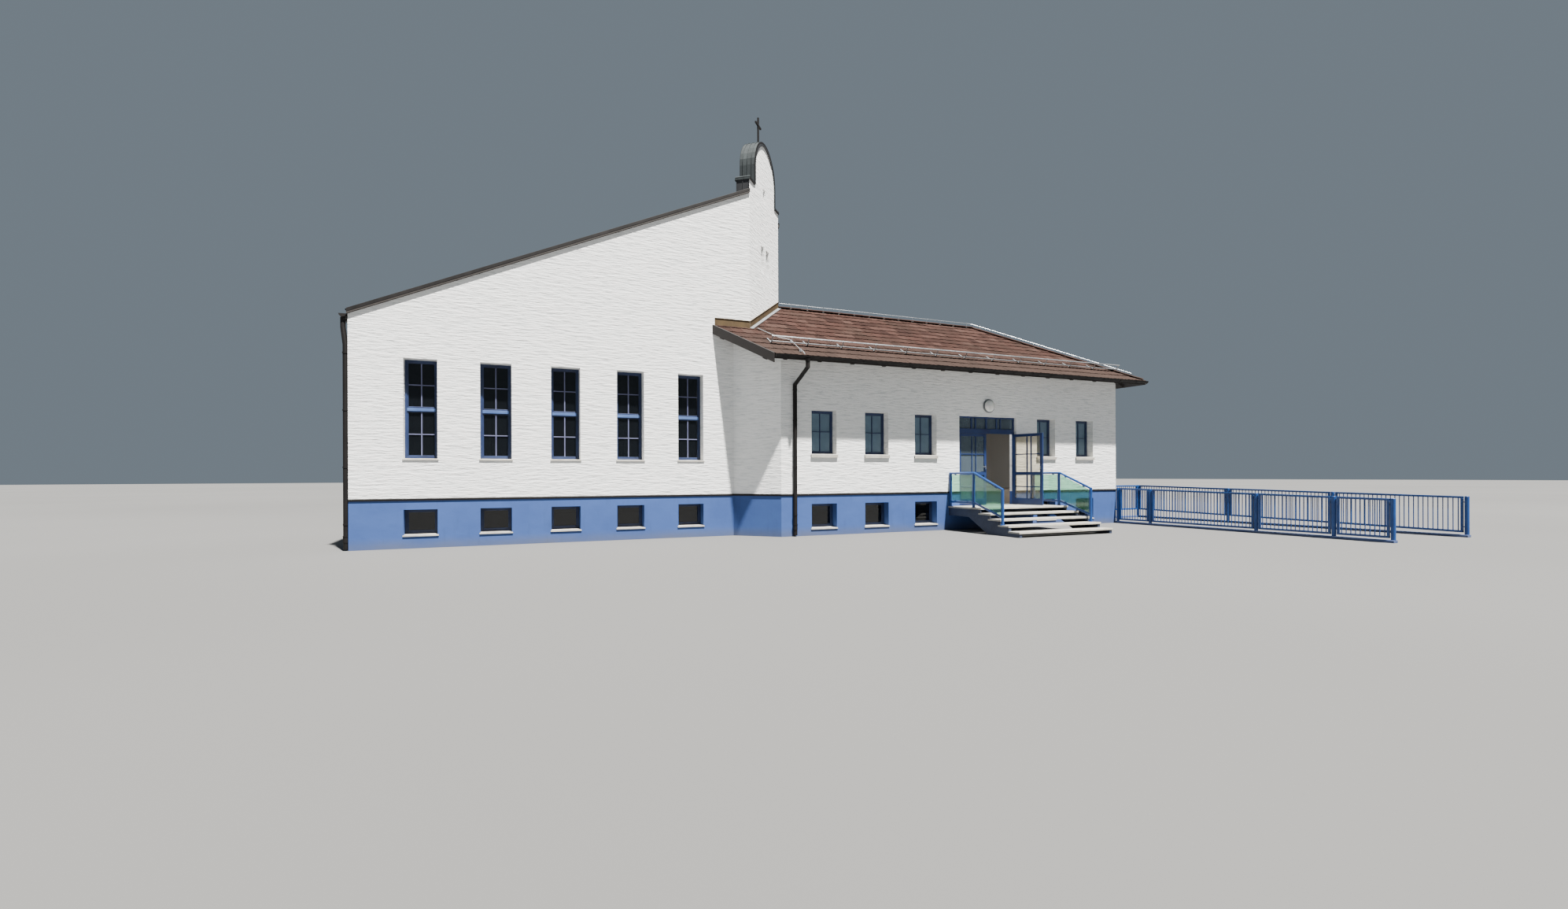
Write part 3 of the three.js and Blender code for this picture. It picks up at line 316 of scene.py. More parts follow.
# The porch beams' dark navy is painted shade: the blue paint as it looks in the shadow under the landing
BEAM_PAINTED_SHADE = make_paint("beam_navy_painted_shade", (0.014, 0.022, 0.045), (0.024, 0.036, 0.070), 0.6)
RAIL = make_paint("rail_blue", (0.004, 0.036, 0.165), (0.009, 0.062, 0.24), 0.32)
WING_TILE = make_tiles("wing_tiles", 4.5, 5.5)
NAVE_TILE = make_tiles("nave_tiles", 5.0, 6.2)
DARK = make_metal("dark_sheet", (0.005, 0.0045, 0.0045), (0.014, 0.012, 0.012), 0.55, 0.2, shine=0.25)
LEAD = make_metal("lead_sheet", (0.018, 0.019, 0.022), (0.045, 0.047, 0.052), 0.55, 0.5)
GREY = make_metal("grey_sheet", (0.14, 0.15, 0.16), (0.27, 0.285, 0.295))
CAP = make_metal("patina_sheet", (0.016, 0.021, 0.023), (0.045, 0.056, 0.060), 0.6, 0.4, (2, 2, 0.3))
FLASHING = make_metal("rusty_sheet", (0.046, 0.027, 0.009), (0.105, 0.066, 0.026), 0.6, 0.3, (1.5, 1.5, 1.0))
ZINC = make_metal("bright_zinc", (0.34, 0.36, 0.38), (0.56, 0.58, 0.60), 0.35, 0.85)
CONCRETE = make_concrete("pale_concrete", (0.24, 0.235, 0.215), (0.36, 0.35, 0.32))
STONE = make_concrete("sill_stone", (0.32, 0.30, 0.26), (0.50, 0.48, 0.43), 5.0)
FLOORING = make_concrete("hall_floor", (0.30, 0.25, 0.20), (0.42, 0.36, 0.29), 2.0)
WOOD = make_wood("dark_wood", (0.006, 0.005, 0.005), (0.018, 0.014, 0.013))
WEATHERED = make_wood("weathered_wood", (0.014, 0.011, 0.010), (0.034, 0.028, 0.025))
# The nave glass's near-black tint is painted shade, standing for the unlit rooms behind it
GLASS = make_glass("nave_glass_painted_dark", (0.045, 0.055, 0.070), 0.92)
# The wing glass's blue-grey colour is painted reflection of the sky
PAINTED_SKY_GLASS = make_glass("wing_glass_painted_sky", (0.20, 0.30, 0.40), 0.45)
# The door glass's bluish-grey colour is painted reflection of the sky
PAINTED_SKY_DOOR_GLASS = make_glass("door_glass_painted_sky", (0.12, 0.16, 0.20), 0.5)
LEAF_GLASS = make_glass("leaf_glass", (0.74, 0.68, 0.54), 0.85)
GREEN = make_glass("green_glass", (0.30, 0.66, 0.46), 0.90, 0.05)
OPAL = make_opal()


# Mesh building: one Build collects the closed forms of one piece
BOX_FACES = [(0, 1, 3, 2), (4, 6, 7, 5), (0, 4, 5, 1), (2, 3, 7, 6), (0, 2, 6, 4), (1, 5, 7, 3)]


def every(first, step, count):
    return [first + step * i for i in range(count)]


def half_turn(steps, first=0):
    return [math.pi * k / steps for k in range(first, steps + 1)]


def square_to(axis):
    return axis.cross(Vector(UP) if abs(axis.z) < 0.9 else Vector((1, 0, 0))).normalized()


def circle(centre, first, second, radius, sides):
    turns = [2 * math.pi * j / sides for j in range(sides)]
    return [centre + (first * math.cos(t) + second * math.sin(t)) * radius for t in turns]


def corners(path):
    """Each point of a path with the directions before and after it."""
    path = [Vector(point) for point in path]
    runs = [(b - a).normalized() for a, b in zip(path, path[1:])]
    return zip(path, runs[:1] + runs, runs + runs[-1:])


def rounded(path, radius, steps):
    """The path with its inner corners rounded."""
    path = [Vector(point) for point in path]
    out = [path[0]]
    for before, at, after in zip(path, path[1:], path[2:]):
        first, second = (before - at).normalized(), (after - at).normalized()
        half = first.angle(second) / 2
        reach = min(radius / math.tan(half), 0.45 * min((before - at).length, (after - at).length))
        start, end = at + first * reach, at + second * reach
        for i in range(steps + 1):
            t = i / steps
            out.append(start * (1 - t) ** 2 + at * 2 * t * (1 - t) + end * t * t)
    return out + [path[-1]]


class Build:
    def __init__(self):
        self.points = []
        self.faces = []

    def add(self, points, faces):
        base = len(self.points)
        self.points += [tuple(point) for point in points]
        self.faces += [[base + index for index in face] for face in faces]

    def box(self, x0, x1, y0, y1, z0, z1, place=lambda *at: at):
        self.add([place(x, y, z) for x in (x0, x1) for y in (y0, y1) for z in (z0, z1)], BOX_FACES)

    def border(self, x0, x1, y0, y1, z0, z1, side, foot, head, place):
        """Two stiles as wide as side, with rails as high as foot and head between them."""
        self.box(x0, x0 + side, y0, y1, z0, z1, place)
        self.box(x1 - side, x1, y0, y1, z0, z1, place)
        self.box(x0 + side, x1 - side, y0, y1, z0, z0 + foot, place)
        self.box(x0 + side, x1 - side, y0, y1, z1 - head, z1, place)

    def loft(self, rings):
        """Rings of points, joined in turn and capped at both ends."""
        sides, last = len(rings[0]), (len(rings) - 1) * len(rings[0])
        faces = [(i + j, i + (j + 1) % sides, i + sides + (j + 1) % sides, i + sides + j)
                 for i in range(0, last, sides) for j in range(sides)]
        faces += [tuple(range(sides))[::-1], tuple(range(last, last + sides))]
        self.add([point for ring in rings for point in ring], faces)

    def prism(self, outline, depth, place):
        """outline is a list of (a, b), place(a, b, c) gives the point, c from 0 to depth."""
        self.loft([[place(a, b, c) for a, b in outline] for c in (0, depth)])

    def sweep(self, section, path, up=UP):
        """A section of (side, height) points along a path, mitred at its corners."""
        up = Vector(up).normalized()
        rings = []
        for at, before, after in corners(path):
            side = (before + after).cross(up).normalized()
            side /= max(0.3, side.dot(before.cross(up).normalized()))
            rings.append([at + side * a + up * b for a, b in section])
        self.loft(rings)

    def tube(self, path, radius, sides=8):
        rings = []
        normal = None
        for at, before, after in corners(path):
            along = (before + after).normalized()
            normal = normal or square_to(along)
            normal = (normal - along * normal.dot(along)).normalized()
            rings.append(circle(at, normal, along.cross(normal), radius / max(0.5, along.dot(before)), sides))
        self.loft(rings)

    def lathe(self, profile, centre, axis=UP, sides=32):
        """profile is a list of (radius, along); the first and last radius are zero."""
        centre, axis = Vector(centre), Vector(axis).normalized()
        first = square_to(axis)
        points = [centre + axis * profile[0][1]]
        for radius, along in profile[1:-1]:
            points += circle(centre + axis * along, first, axis.cross(first), radius, sides)
        points.append(centre + axis * profile[-1][1])
        ring = [(1 + j, 1 + (j + 1) % sides) for j in range(sides)]
        last = (len(profile) - 3) * sides
        faces = [(0, k, j) for j, k in ring]
        faces += [(i + j, i + k, i + sides + k, i + sides + j)
                  for i in range(0, last, sides) for j, k in ring]
        faces += [(last + j, last + k, len(points) - 1) for j, k in ring]
        self.add(points, faces)

    def finish(self, name, material, slot, replaced=None, body="building", bevel=0.0, smooth=False):
        mesh = bpy.data.meshes.new(name)
        mesh.from_pydata(self.points, [], self.faces)
        work = bmesh.new()
        work.from_mesh(mesh)
        bmesh.ops.recalc_face_normals(work, faces=work.faces)
        work.to_mesh(mesh)
        work.free()
        mesh.materials.append(material)
        obj = bpy.data.objects.new(name, mesh)
        bpy.context.scene.collection.objects.link(obj)
        if bevel:
            modifier = obj.modifiers.new("edges", "BEVEL")
            modifier.width = bevel
            modifier.segments = 2
            modifier.limit_method = "ANGLE"
            modifier.angle_limit = math.radians(40)
        if smooth:
            for polygon in mesh.polygons:
                polygon.use_smooth = True
            mesh.set_sharp_from_angle(angle=math.radians(38))
        if replaced:
            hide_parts(replaced)
        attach(obj, body)


# Finishes of the solids that stay
def dress(material, names):
    for name in names.split():
        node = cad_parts[name]
        node.data.materials.clear()
        node.data.materials.append(material)


dress(STUCCO, "nave_front_wall nave_left_wall nave_rear_wall nave_right_wall bell_gable_wall wing_splay_wall")
dress(STUCCO, "wing_front_wall_left wing_front_wall_right wing_wall_over_entrance "
              "wing_right_wall wing_rear_wall")
dress(PLINTH, "nave_front_plinth wing_front_plinth_left wing_front_plinth_right entrance_plinth")
dress(FLOORING, "nave_floor wing_floor_left wing_floor_right entrance_floor")
dress(CONCRETE, "nave_ground_slab wing_ground_slab porch_landing")
dress(CONCRETE, "porch_tread_1 porch_tread_2 porch_tread_3 porch_tread_4")
dress(WOOD, "wing_roof_front wing_roof_rear wing_roof_hip nave_roof_left nave_roof_rear wing_verge_board")
dress(DARK, "nave_gutter wing_front_gutter wing_rear_gutter nave_downpipe wing_downpipe cross")
dress(CAP, "gable_cap")
dress(BEAM_PAINTED_SHADE, "porch_frame")


# Windows, by wall: place maps (along the wall, out from its face, up) to the frame
def wall_place(axis, face, outward):
    if axis == "x":
        return lambda a, out, z: (a, face + outward * out, z)
    return lambda a, out, z: (face + outward * out, a, z)


FRONT, REAR = wall_place("x", NAVE_Y[0], -1), wall_place("x", NAVE_Y[1], 1)
LEFT, RIGHT = wall_place("y", NAVE_X[0], -1), wall_place("y", NAVE_X[1], 1)
WING_FRONT, WING_REAR = wall_place("x", WING_Y[0], -1), wall_place("x", WING_Y[1], 1)
WING_END = wall_place("y", WING_X[1], 1)
SILL = dict(edge=0.024, out=0.020)
NAVE_WIN = dict(SILL, width=0.653, foot=1.940, head=4.111, depth=NAVE_WALL, rows=(0.25, 0.75), transom=0.5)
NAVE_LOW = dict(SILL, width=0.653, foot=0.290, head=0.838, depth=NAVE_WALL, rows=(), transom=None)
WING_WIN = dict(width=0.729, foot=2.100, head=3.241, depth=WING_WALL, rows=(0.52,), transom=None, edge=0.080,
                out=0.044)
WING_LOW = dict(SILL, width=0.729, foot=0.190, head=0.815, depth=WING_WALL, rows=(), transom=None)
# Half widths of transom and bars, widths of frame and sash, play round a frame, a sill's reach at its ends
TRANSOM_HALF, BAR_HALF, FRAME_SIDE, SASH, PLAY, SILL_REACH = 0.034, 0.013, 0.044, 0.026, 0.002, 0.022


def window(frames, transoms, bars, panes, sills, place, start, kind):
    width, foot, head = kind["width"], kind["foot"], kind["head"]
    near, back = -(kind["depth"] - 0.058), -(kind["depth"] - 0.004)
    frames.border(start + PLAY, start + width - PLAY, back, near, foot + PLAY, head - PLAY,
                  *[FRAME_SIDE] * 3, place)
    a0, a1 = start + PLAY + FRAME_SIDE, start + width - PLAY - FRAME_SIDE
    z0, z1 = foot + PLAY + FRAME_SIDE, head - PLAY - FRAME_SIDE
    parts = [(z0, z1)]
    if kind["transom"]:
        middle = foot + (head - foot) * kind["transom"]
        parts = [(z0, middle - TRANSOM_HALF), (middle + TRANSOM_HALF, z1)]
        transoms.box(a0, a1, back, near + 0.008, parts[0][1], parts[1][0], place)
    for low, high in parts:
        frames.border(a0, a1, back, near - 0.012, low, high, SASH, SASH + 0.008, SASH, place)
        if kind["rows"]:
            centre = (a0 + a1) / 2
            bars.box(centre - BAR_HALF, centre + BAR_HALF, back + 0.006, near - 0.015,
                     low + SASH, high - SASH, place)
        for share in kind["rows"]:
            level = foot + (head - foot) * share
            if low < level < high:
                bars.box(a0 + SASH, a1 - SASH, back + 0.005, near - 0.017,
                         level - 0.011, level + 0.011, place)
        panes.box(a0 + SASH - 0.006, a1 - SASH + 0.006, back + 0.012, back + 0.020, low + SASH + 0.002,
                  high - SASH + 0.006, place)
    low, out = foot - 0.010 - kind["edge"], kind["out"]
    outline = [(near + 0.001, foot - 0.004), (near + 0.001, foot + 0.012), (out, foot - 0.010), (out, low),
               (SKIN, low), (SKIN, foot - 0.004)]
    sills.prism(outline, width + 2 * SILL_REACH - PLAY,
                lambda o, z, a: place(start - SILL_REACH + PLAY / 2 + a, o, z))
    sills.box(start + PLAY, start + width - PLAY, near + PLAY, 0.0, foot + 0.0005, foot + 0.004, place)


ROWS = {
    "nave_front": [(FRONT, every(-8.777, 1.508, 5))],
    "nave_side": [(LEFT, every(-2.142, 1.508, 6)), (REAR, every(-8.585, 1.508, 6)),
                  (RIGHT, every(2.750, 1.508, 3))],
    "wing_front_left": [(WING_FRONT, every(0.512, 1.582, 3))],
    "wing_front_right": [(WING_FRONT, every(8.064, 1.576, 2))],
    "wing_side": [(WING_END, [-3.130, -0.640]), (WING_REAR, every(1.767, 1.582, 6))],
}
for row, walls in ROWS.items():
    nave = row.startswith("nave")
    for storey, kind in (("windows", NAVE_WIN if nave else WING_WIN),
                         ("basement_windows", NAVE_LOW if nave else WING_LOW)):
        frames, transoms, bars, panes, sills = parts = [Build() for _ in range(5)]
        for place, starts in walls:
            for start in starts:
                window(*parts, place, start, kind)
        node = f"{row}_{storey}"
        frames.finish(f"{node}_frames", FRAME, "frame_blue", node, bevel=0.004)
        # Transoms take the lighter, painted-lit copy of the frame blue
        for part, material, made in (("transoms", TRANSOM_PAINTED_LIT, transoms),
                                     ("bars", MUNTIN if nave else FRAME, bars)):
            if made.points:
                made.finish(f"{node}_{part}", material, "frame_blue", node, bevel=0.003)
        # Wing panes get the glass with painted sky reflection, the others the glass with painted shade
        panes.finish(f"{node}_panes", PAINTED_SKY_GLASS if kind is WING_WIN else GLASS, "frame_blue", node)
        sills.finish(f"{node}_sills", STONE, "stucco", bevel=0.004)


# Drip edge between the rendered wall and the plinth: a real bead, whose near-black finish is painted shadow
# under the stucco's lip
def drip_edge():
    made = Build()
    section = [(HAIR, -0.030), (0.016, -0.030), (0.020, 0.006), (0.012, 0.018), (HAIR, 0.024)]
    for run in ([(NAVE_X[0], NAVE_Y[0]), (SPLAY[0].x, NAVE_Y[0]), SPLAY[1], (DOOR_X[0], WING_Y[0])],
                [(DOOR_X[1], WING_Y[0]), (WING_X[1], WING_Y[0])]):
        made.sweep(section, [(*point, PLINTH_TOP) for point in run])
    # The DARK finish stands for the shadow line under the stucco's overhang: painted shadow on a real drip
    # bead
    made.finish("plinth_drip_edge_painted_shadow", DARK, "dark_metal", bevel=0.002)


drip_edge()


# Tiled slopes: a slope lies on its plan edge (foot), with plan vectors along the eave and up the slope
TILE, GAUGE, LAP = 0.300, 0.345, 0.030
TILE_PROFILE = [(0.000, 0.006), (0.020, 0.012), (0.075, 0.003), (0.140, 0.003), (0.165, 0.011),
                (0.190, 0.003), (0.255, 0.003), (0.292, 0.008)]


def tiled_slope(made, foot, along, inward, slope, width, depth, lines):
    """Fills width by depth with tiles in courses, and trims them at plan lines (point, inward normal)."""
    foot, along, inward = Vector(foot), Vector((*along, 0)), Vector((*inward, 0))
    rise = math.sqrt(1 + slope * slope)
    up = (inward + Vector((0, 0, slope))) / rise
    out = along.cross(up)
    out = -out if out.z < 0 else out
    work = bmesh.new()
    for row in range(int(depth * rise / GAUGE) + 2):
        shift = 0.5 * TILE * (row % 2)
        for column in range(-1, int(width / TILE) + 2):
            base = foot + along * (column * TILE + shift) + up * (row * GAUGE - 0.02)
            tip = random.uniform(0.016, 0.022)
            slip = random.uniform(-0.004, 0.004)
            lower, upper, edge = [], [], []
            for across, height in TILE_PROFILE:
                at = base + along * across
                lower.append(work.verts.new(at + up * slip + out * (height + tip)))
                upper.append(work.verts.new(at + up * (GAUGE + LAP) + out * (height + 0.001)))
                edge.append(work.verts.new(at + up * (slip + 0.004) + out * 0.001))
            for i in range(len(TILE_PROFILE) - 1):
                work.faces.new((lower[i], lower[i + 1], upper[i + 1], upper[i]))
                work.faces.new((edge[i], edge[i + 1], lower[i + 1], lower[i]))
            work.faces.new((edge[0], lower[0], upper[0]))
            work.faces.new((edge[-1], upper[-1], lower[-1]))
    for point, normal in lines:
        bmesh.ops.bisect_plane(work, geom=work.verts[:] + work.edges[:] + work.faces[:], dist=1e-5,
                               plane_co=(*point, 0), plane_no=(*(-Vector(normal)), 0), clear_outer=True)
    work.verts.index_update()
    made.add([vert.co for vert in work.verts], [[vert.index for vert in face.verts] for face in work.faces])
    work.free()


def line(a, b):
    """A plan line from a to b with its inner side on the left."""
    d = (Vector(b) - Vector(a)).normalized()
    return a, (-d.y, d.x)


def cut_point(along, inward, *z):
    """A point on the corner that the gable cuts off, seen along and square to the gable."""
    return (*(CUT_NEAR + cut_dir * along + cut_in * inward), *z)


def tiles(name, material, *fields):
    made = Build()
    for common, lines in fields:
        tiled_slope(made, *common, lines)
    made.finish(name, material, "roof_tile", smooth=True)


def wing_tiles():
    common = ((-2.0, EAVE_F, WING_EAVE), (1, 0), (0, 1), WING_SLOPE, EAVE_E + 2.0, WING_HALF)
    hip = line((EAVE_E, EAVE_F), RIDGE_END)
    low = [line(*VERGE), hip, ((0, NAVE_Y[0]), (0, -1)), ((0, EAVE_F - 0.03), (0, 1))]
    high = [((0, NAVE_Y[0] + 0.001), (0, 1)), line(CUT_FAR, CUT_NEAR), hip, ((0, RIDGE_Y), (0, -1))]
    tiles("wing_front_tiles", WING_TILE, (common, low), (common, high))
    common = ((NAVE_X[1], EAVE_R, WING_EAVE), (1, 0), (0, -1), WING_SLOPE, EAVE_E - NAVE_X[1], WING_HALF)
    lines = [((NAVE_X[1] + 0.003, 0), (1, 0)), line(RIDGE_END, (EAVE_E, EAVE_R)), ((0, RIDGE_Y), (0, 1))]
    tiles("wing_rear_tiles", WING_TILE, (common, lines))
    common = ((EAVE_E, EAVE_F, WING_EAVE), (0, 1), (-1, 0), HIP_SLOPE, 2 * WING_HALF, HIP_RUN)
    lines = [line(RIDGE_END, (EAVE_E, EAVE_F)), line((EAVE_E, EAVE_R), RIDGE_END)]
    tiles("wing_hip_tiles", WING_TILE, (common, lines))


wing_tiles()

# Plan line of the nave's hip: x + y is the same all along it
HIP_SUM = NAVE_Y[1] + NAVE_X[0]


def nave_tiles():
    back = line(cut_point(0, GABLE_DEPTH), cut_point(CUT_LENGTH, GABLE_DEPTH))
    verge, side = NAVE_Y[0] - NAVE_VERGE_OUT, NAVE_X[1] + NAVE_VERGE_OUT
    top = NAVE_EAVE - NAVE_SLOPE * NAVE_OVERHANG
    toward = Vector((-1, -1)).normalized()
    hip, other = ((HIP_SUM, 0), toward), ((HIP_SUM, 0), -toward)
    common = ((NAVE_LEFT_EAVE, verge, top), (0, 1), (1, 0), NAVE_SLOPE, NAVE_REAR_EAVE - verge, 10.4)
    low = [((0, verge + 0.035), (0, 1)), hip, ((CUT_NEAR.x - 0.002, 0), (-1, 0))]
    high = [hip, ((CUT_NEAR.x - 0.001, 0), (1, 0)), back]
    tiles("nave_left_tiles", NAVE_TILE, (common, low), (common, high))
    common = ((NAVE_LEFT_EAVE, NAVE_REAR_EAVE, top), (1, 0), (0, -1), NAVE_SLOPE, side - NAVE_LEFT_EAVE, 9.6)
    low = [other, ((side - 0.035, 0), (-1, 0)), ((0, CUT_FAR.y + 0.002), (0, 1))]
    high = [other, ((0, CUT_FAR.y + 0.001), (0, -1)), back, ((side - 0.035, 0), (-1, 0))]
    tiles("nave_rear_tiles", NAVE_TILE, (common, low), (common, high))


nave_tiles()


def cap_tiles(made, start, end, radius=0.085, step=0.36):
    """Overlapping half-round tiles along a hip or ridge."""
    start, end = Vector(start), Vector(end)
    run = end - start
    count = round(run.length / step)
    along = run.normalized()
    side = along.cross(Vector(UP)).normalized()
    up = side.cross(along)
    turns = half_turn(8)

    def arc(centre, size, angles, wide=1, high=1):
        return [centre + (side * math.cos(t) * 1.15 * wide
                          + up * (math.sin(t) * 0.45 * high)) * radius * size for t in angles]

    def ring(centre, size):
        return arc(centre, size, turns) + arc(centre, size, turns[::-1], 0.84, 0.78)

    for i in range(count):
        made.loft([ring(start + run * (i / count), 1.10),
                   ring(start + run * min(1.0, (i + 1.12) / count), 0.94)])


def ridge_caps():
    wing = Build()
    lift = 0.020
    end = (*RIDGE_END, RIDGE_Z + lift)
    cap_tiles(wing, (EAVE_E - 0.04, EAVE_F + 0.04, WING_EAVE + 0.025 + lift), end)
    cap_tiles(wing, (EAVE_E - 0.04, EAVE_R - 0.04, WING_EAVE + 0.025 + lift), end)
    cap_tiles(wing, end, (NAVE_X[1] + 0.01, RIDGE_Y, RIDGE_Z + lift))
    wing.finish("wing_ridge_caps", WING_TILE, "roof_tile", smooth=True)
    nave = Build()
    foot_z = NAVE_EAVE - NAVE_SLOPE * NAVE_OVERHANG
    hip_along = (HIP_SUM - CUT_NEAR.x - CUT_NEAR.y) / (cut_dir.x + cut_dir.y)
    top = cut_point(hip_along, GABLE_DEPTH + 0.02)
    cap_tiles(nave, (NAVE_LEFT_EAVE + 0.04, NAVE_REAR_EAVE - 0.04, foot_z + 0.018 + lift),
              (*top, NAVE_EAVE + NAVE_SLOPE * (top[0] - NAVE_X[0]) + lift))
    nave.finish("nave_hip_caps", NAVE_TILE, "roof_tile", smooth=True)


ridge_caps()


def roof_z(y):
    return WING_EAVE + WING_SLOPE * (y - EAVE_F)


# Eaves: rafter tails, purlin ends, the board behind the gutters, and gutter hooks
def eaves():
    tails = Build()
    section = [(-0.40, 0.0), (0.0, 0.0), (0.0, -0.045), (-0.05, -0.075), (-0.40, -0.075)]
    under, back_in = WING_EAVE - 0.121, 0.09
    rise = lambda inward, drop, slope: under + (inward + back_in) * slope + drop
    front = lambda a, inward, drop: (a, EAVE_F + back_in + inward, rise(inward, drop, WING_SLOPE))
    rear = lambda a, inward, drop: (a, EAVE_R - back_in - inward, rise(inward, drop, WING_SLOPE))
    end = lambda a, inward, drop: (EAVE_E - back_in - inward, a, rise(inward, drop, HIP_SLOPE))
    for place, starts in ((front, every(-0.42, 0.94, 13)), (rear, every(1.45, 0.94, 11)),
                          (end, every(-4.30, 0.935, 6))):
        for at in starts:
            tails.loft([[place(at + side, -back, drop) for back, drop in section]
                        for side in (-0.045, 0.045)])
    along = (VERGE[1] - VERGE[0]).normalized()
    inward = Vector((-along.y, along.x))
    half = along * 0.055
    for reach in (0.24, 1.55):
        at = VERGE[0] + along * reach
        corner, far = at + inward * 0.004, at + inward * 0.50
        tails.loft([[(spot.x, spot.y, roof_z(spot.y) - 0.124 + level)
                     for spot in (corner - half, corner + half, far + half, far - half)]
                    for level in (0.0, -0.13)])
    tails.finish("rafter_tails", WOOD, "timber", bevel=0.004)

    board = Build()
    inner, outer = SKIN, SKIN + 0.022
    board.sweep([(outer, -0.118), (outer, -0.004), (inner, -0.004), (inner, -0.118)],
                [(VERGE[1].x + 0.02, EAVE_F, WING_EAVE), (EAVE_E, EAVE_F, WING_EAVE),
                 (EAVE_E, EAVE_R, WING_EAVE), (NAVE_X[1] + 0.01, EAVE_R, WING_EAVE)])
    board.finish("eave_board", WOOD, "timber", bevel=0.003)

    hooks = Build()
    radius = 0.074
    section = [(-0.002, -0.013), (0.002, -0.013), (0.002, 0.013), (-0.002, 0.013)]
    nave_top = NAVE_GUTTER
    for place, out, top, first, starts in (
            (lambda a: (a, EAVE_F - GUTTER_OUT, 0), (0, -1, 0), WING_GUTTER, 0, every(-0.45, 0.70, 18)),
            (lambda a: (a, EAVE_R + GUTTER_OUT, 0), (0, 1, 0), WING_GUTTER, 0, every(1.2, 0.70, 15)),
            (lambda a: (EAVE_E + GUTTER_OUT, a, 0), (1, 0, 0), WING_GUTTER, 0, every(-4.7, 0.70, 9)),
            (lambda a: (NAVE_LEFT_EAVE - GUTTER_OUT, a, 0), (-1, 0, 0), nave_top, 2, every(-3.2, 0.72, 15)),
            (lambda a: (a, NAVE_REAR_EAVE + GUTTER_OUT, 0), (0, 1, 0), nave_top, 2, every(-9.6, 0.72, 15))):
        out = Vector(out)
        for at in starts:
            path = [Vector(place(at)) + out * radius * math.cos(t)
                    + Vector((0, 0, top - radius * math.sin(t)))
                    for t in half_turn(12, first)]
            hooks.sweep(section, path, up=out.cross(Vector(UP)))
    hooks.finish("gutter_hooks", DARK, "dark_metal")


eaves()


# Collars, wall brackets and sockets of the downpipes, outlet, and end plates of the gutters
def pipe_fittings():
    made = Build()
    ring = [(0.0, -0.016), (0.057, -0.016), (0.057, 0.016), (0.0, 0.016)]
    wing, nave = (PIPE_X, WING_Y[0] - PIPE_OUT), (NAVE_X[0] - PIPE_OUT, NAVE_Y[0] + 0.050)
    half, tall, deep = 0.015, 0.012, 0.03
    for pipe, top, *sides in (
            (wing, 3.72, wing[0] - half, wing[0] + half, WING_Y[0] - deep, WING_Y[0] - HAIR),
            (nave, 4.15, NAVE_X[0] - deep, NAVE_X[0] - HAIR, nave[1] - half, nave[1] + half)):
        for z in (0.55, 1.75, 2.95, top):
            made.lathe(ring, (*pipe, z), sides=20)
            made.box(*sides, z - tall, z + tall)
    socket = [(0.0, -0.07), (0.056, -0.07), (0.056, 0.055), (0.062, 0.055), (0.062, 0.070), (0.0, 0.070)]
    for pipe in (wing, nave):
        made.lathe(socket, (*pipe, 0.24), sides=20)
    made.lathe([(0.0, -0.012), (0.058, -0.012), (0.074, 0.062), (0.0, 0.062)],
               (PIPE_X + PIPE_SKEW, EAVE_F - GUTTER_OUT, WING_GUTTER - 0.128), sides=20)
    half_round = [(0.065 * math.cos(t), -0.065 * math.sin(t)) for t in half_turn(12)]
    low, nave_low, plate = WING_GUTTER - 0.001, NAVE_GUTTER - 0.001, 0.002
    for x in (VERGE[1].x + 0.001, EAVE_E - 0.003):
        made.prism(half_round, plate, lambda a, b, c: (x + c, EAVE_F - GUTTER_OUT + a, low + b))
    made.prism(half_round, plate,
               lambda a, b, c: (NAVE_LEFT_EAVE - GUTTER_OUT + a, NAVE_Y[0] - 0.039 + c, nave_low + b))
    made.prism(half_round, plate, lambda a, b, c: (EAVE_E + GUTTER_OUT + a, EAVE_F + 0.001 + c, low + b))
    made.finish("pipe_fittings", DARK, "dark_metal", smooth=True)


pipe_fittings()


# Snow guards: two rails on brackets above the eave
def snow_guards():
    made = Build()
    y, x0, x1, count = -4.430, -0.62, 11.42, 13
    cos, sin = 1 / math.hypot(1, WING_SLOPE), WING_SLOPE / math.hypot(1, WING_SLOPE)
    on_roof = lambda x, up, lift: (x, y + up * cos - lift * sin, roof_z(y) + up * sin + lift * cos)
    for lift in (0.075, 0.215):
        made.tube([on_roof(x0, 0, lift), on_roof(x1, 0, lift)], 0.016)
    for i in range(count):
        x = x0 + 0.03 + (x1 - x0 - 0.06) * i / (count - 1)
        made.sweep([(-0.003, -0.016), (0.003, -0.016), (0.003, 0.016), (-0.003, 0.016)],
                   [on_roof(x, 0.34, 0.030), on_roof(x, 0.02, 0.030), on_roof(x, 0.0, 0.235)], up=(1, 0, 0))
    made.finish("snow_guards", ZINC, "dark_metal")


snow_guards()


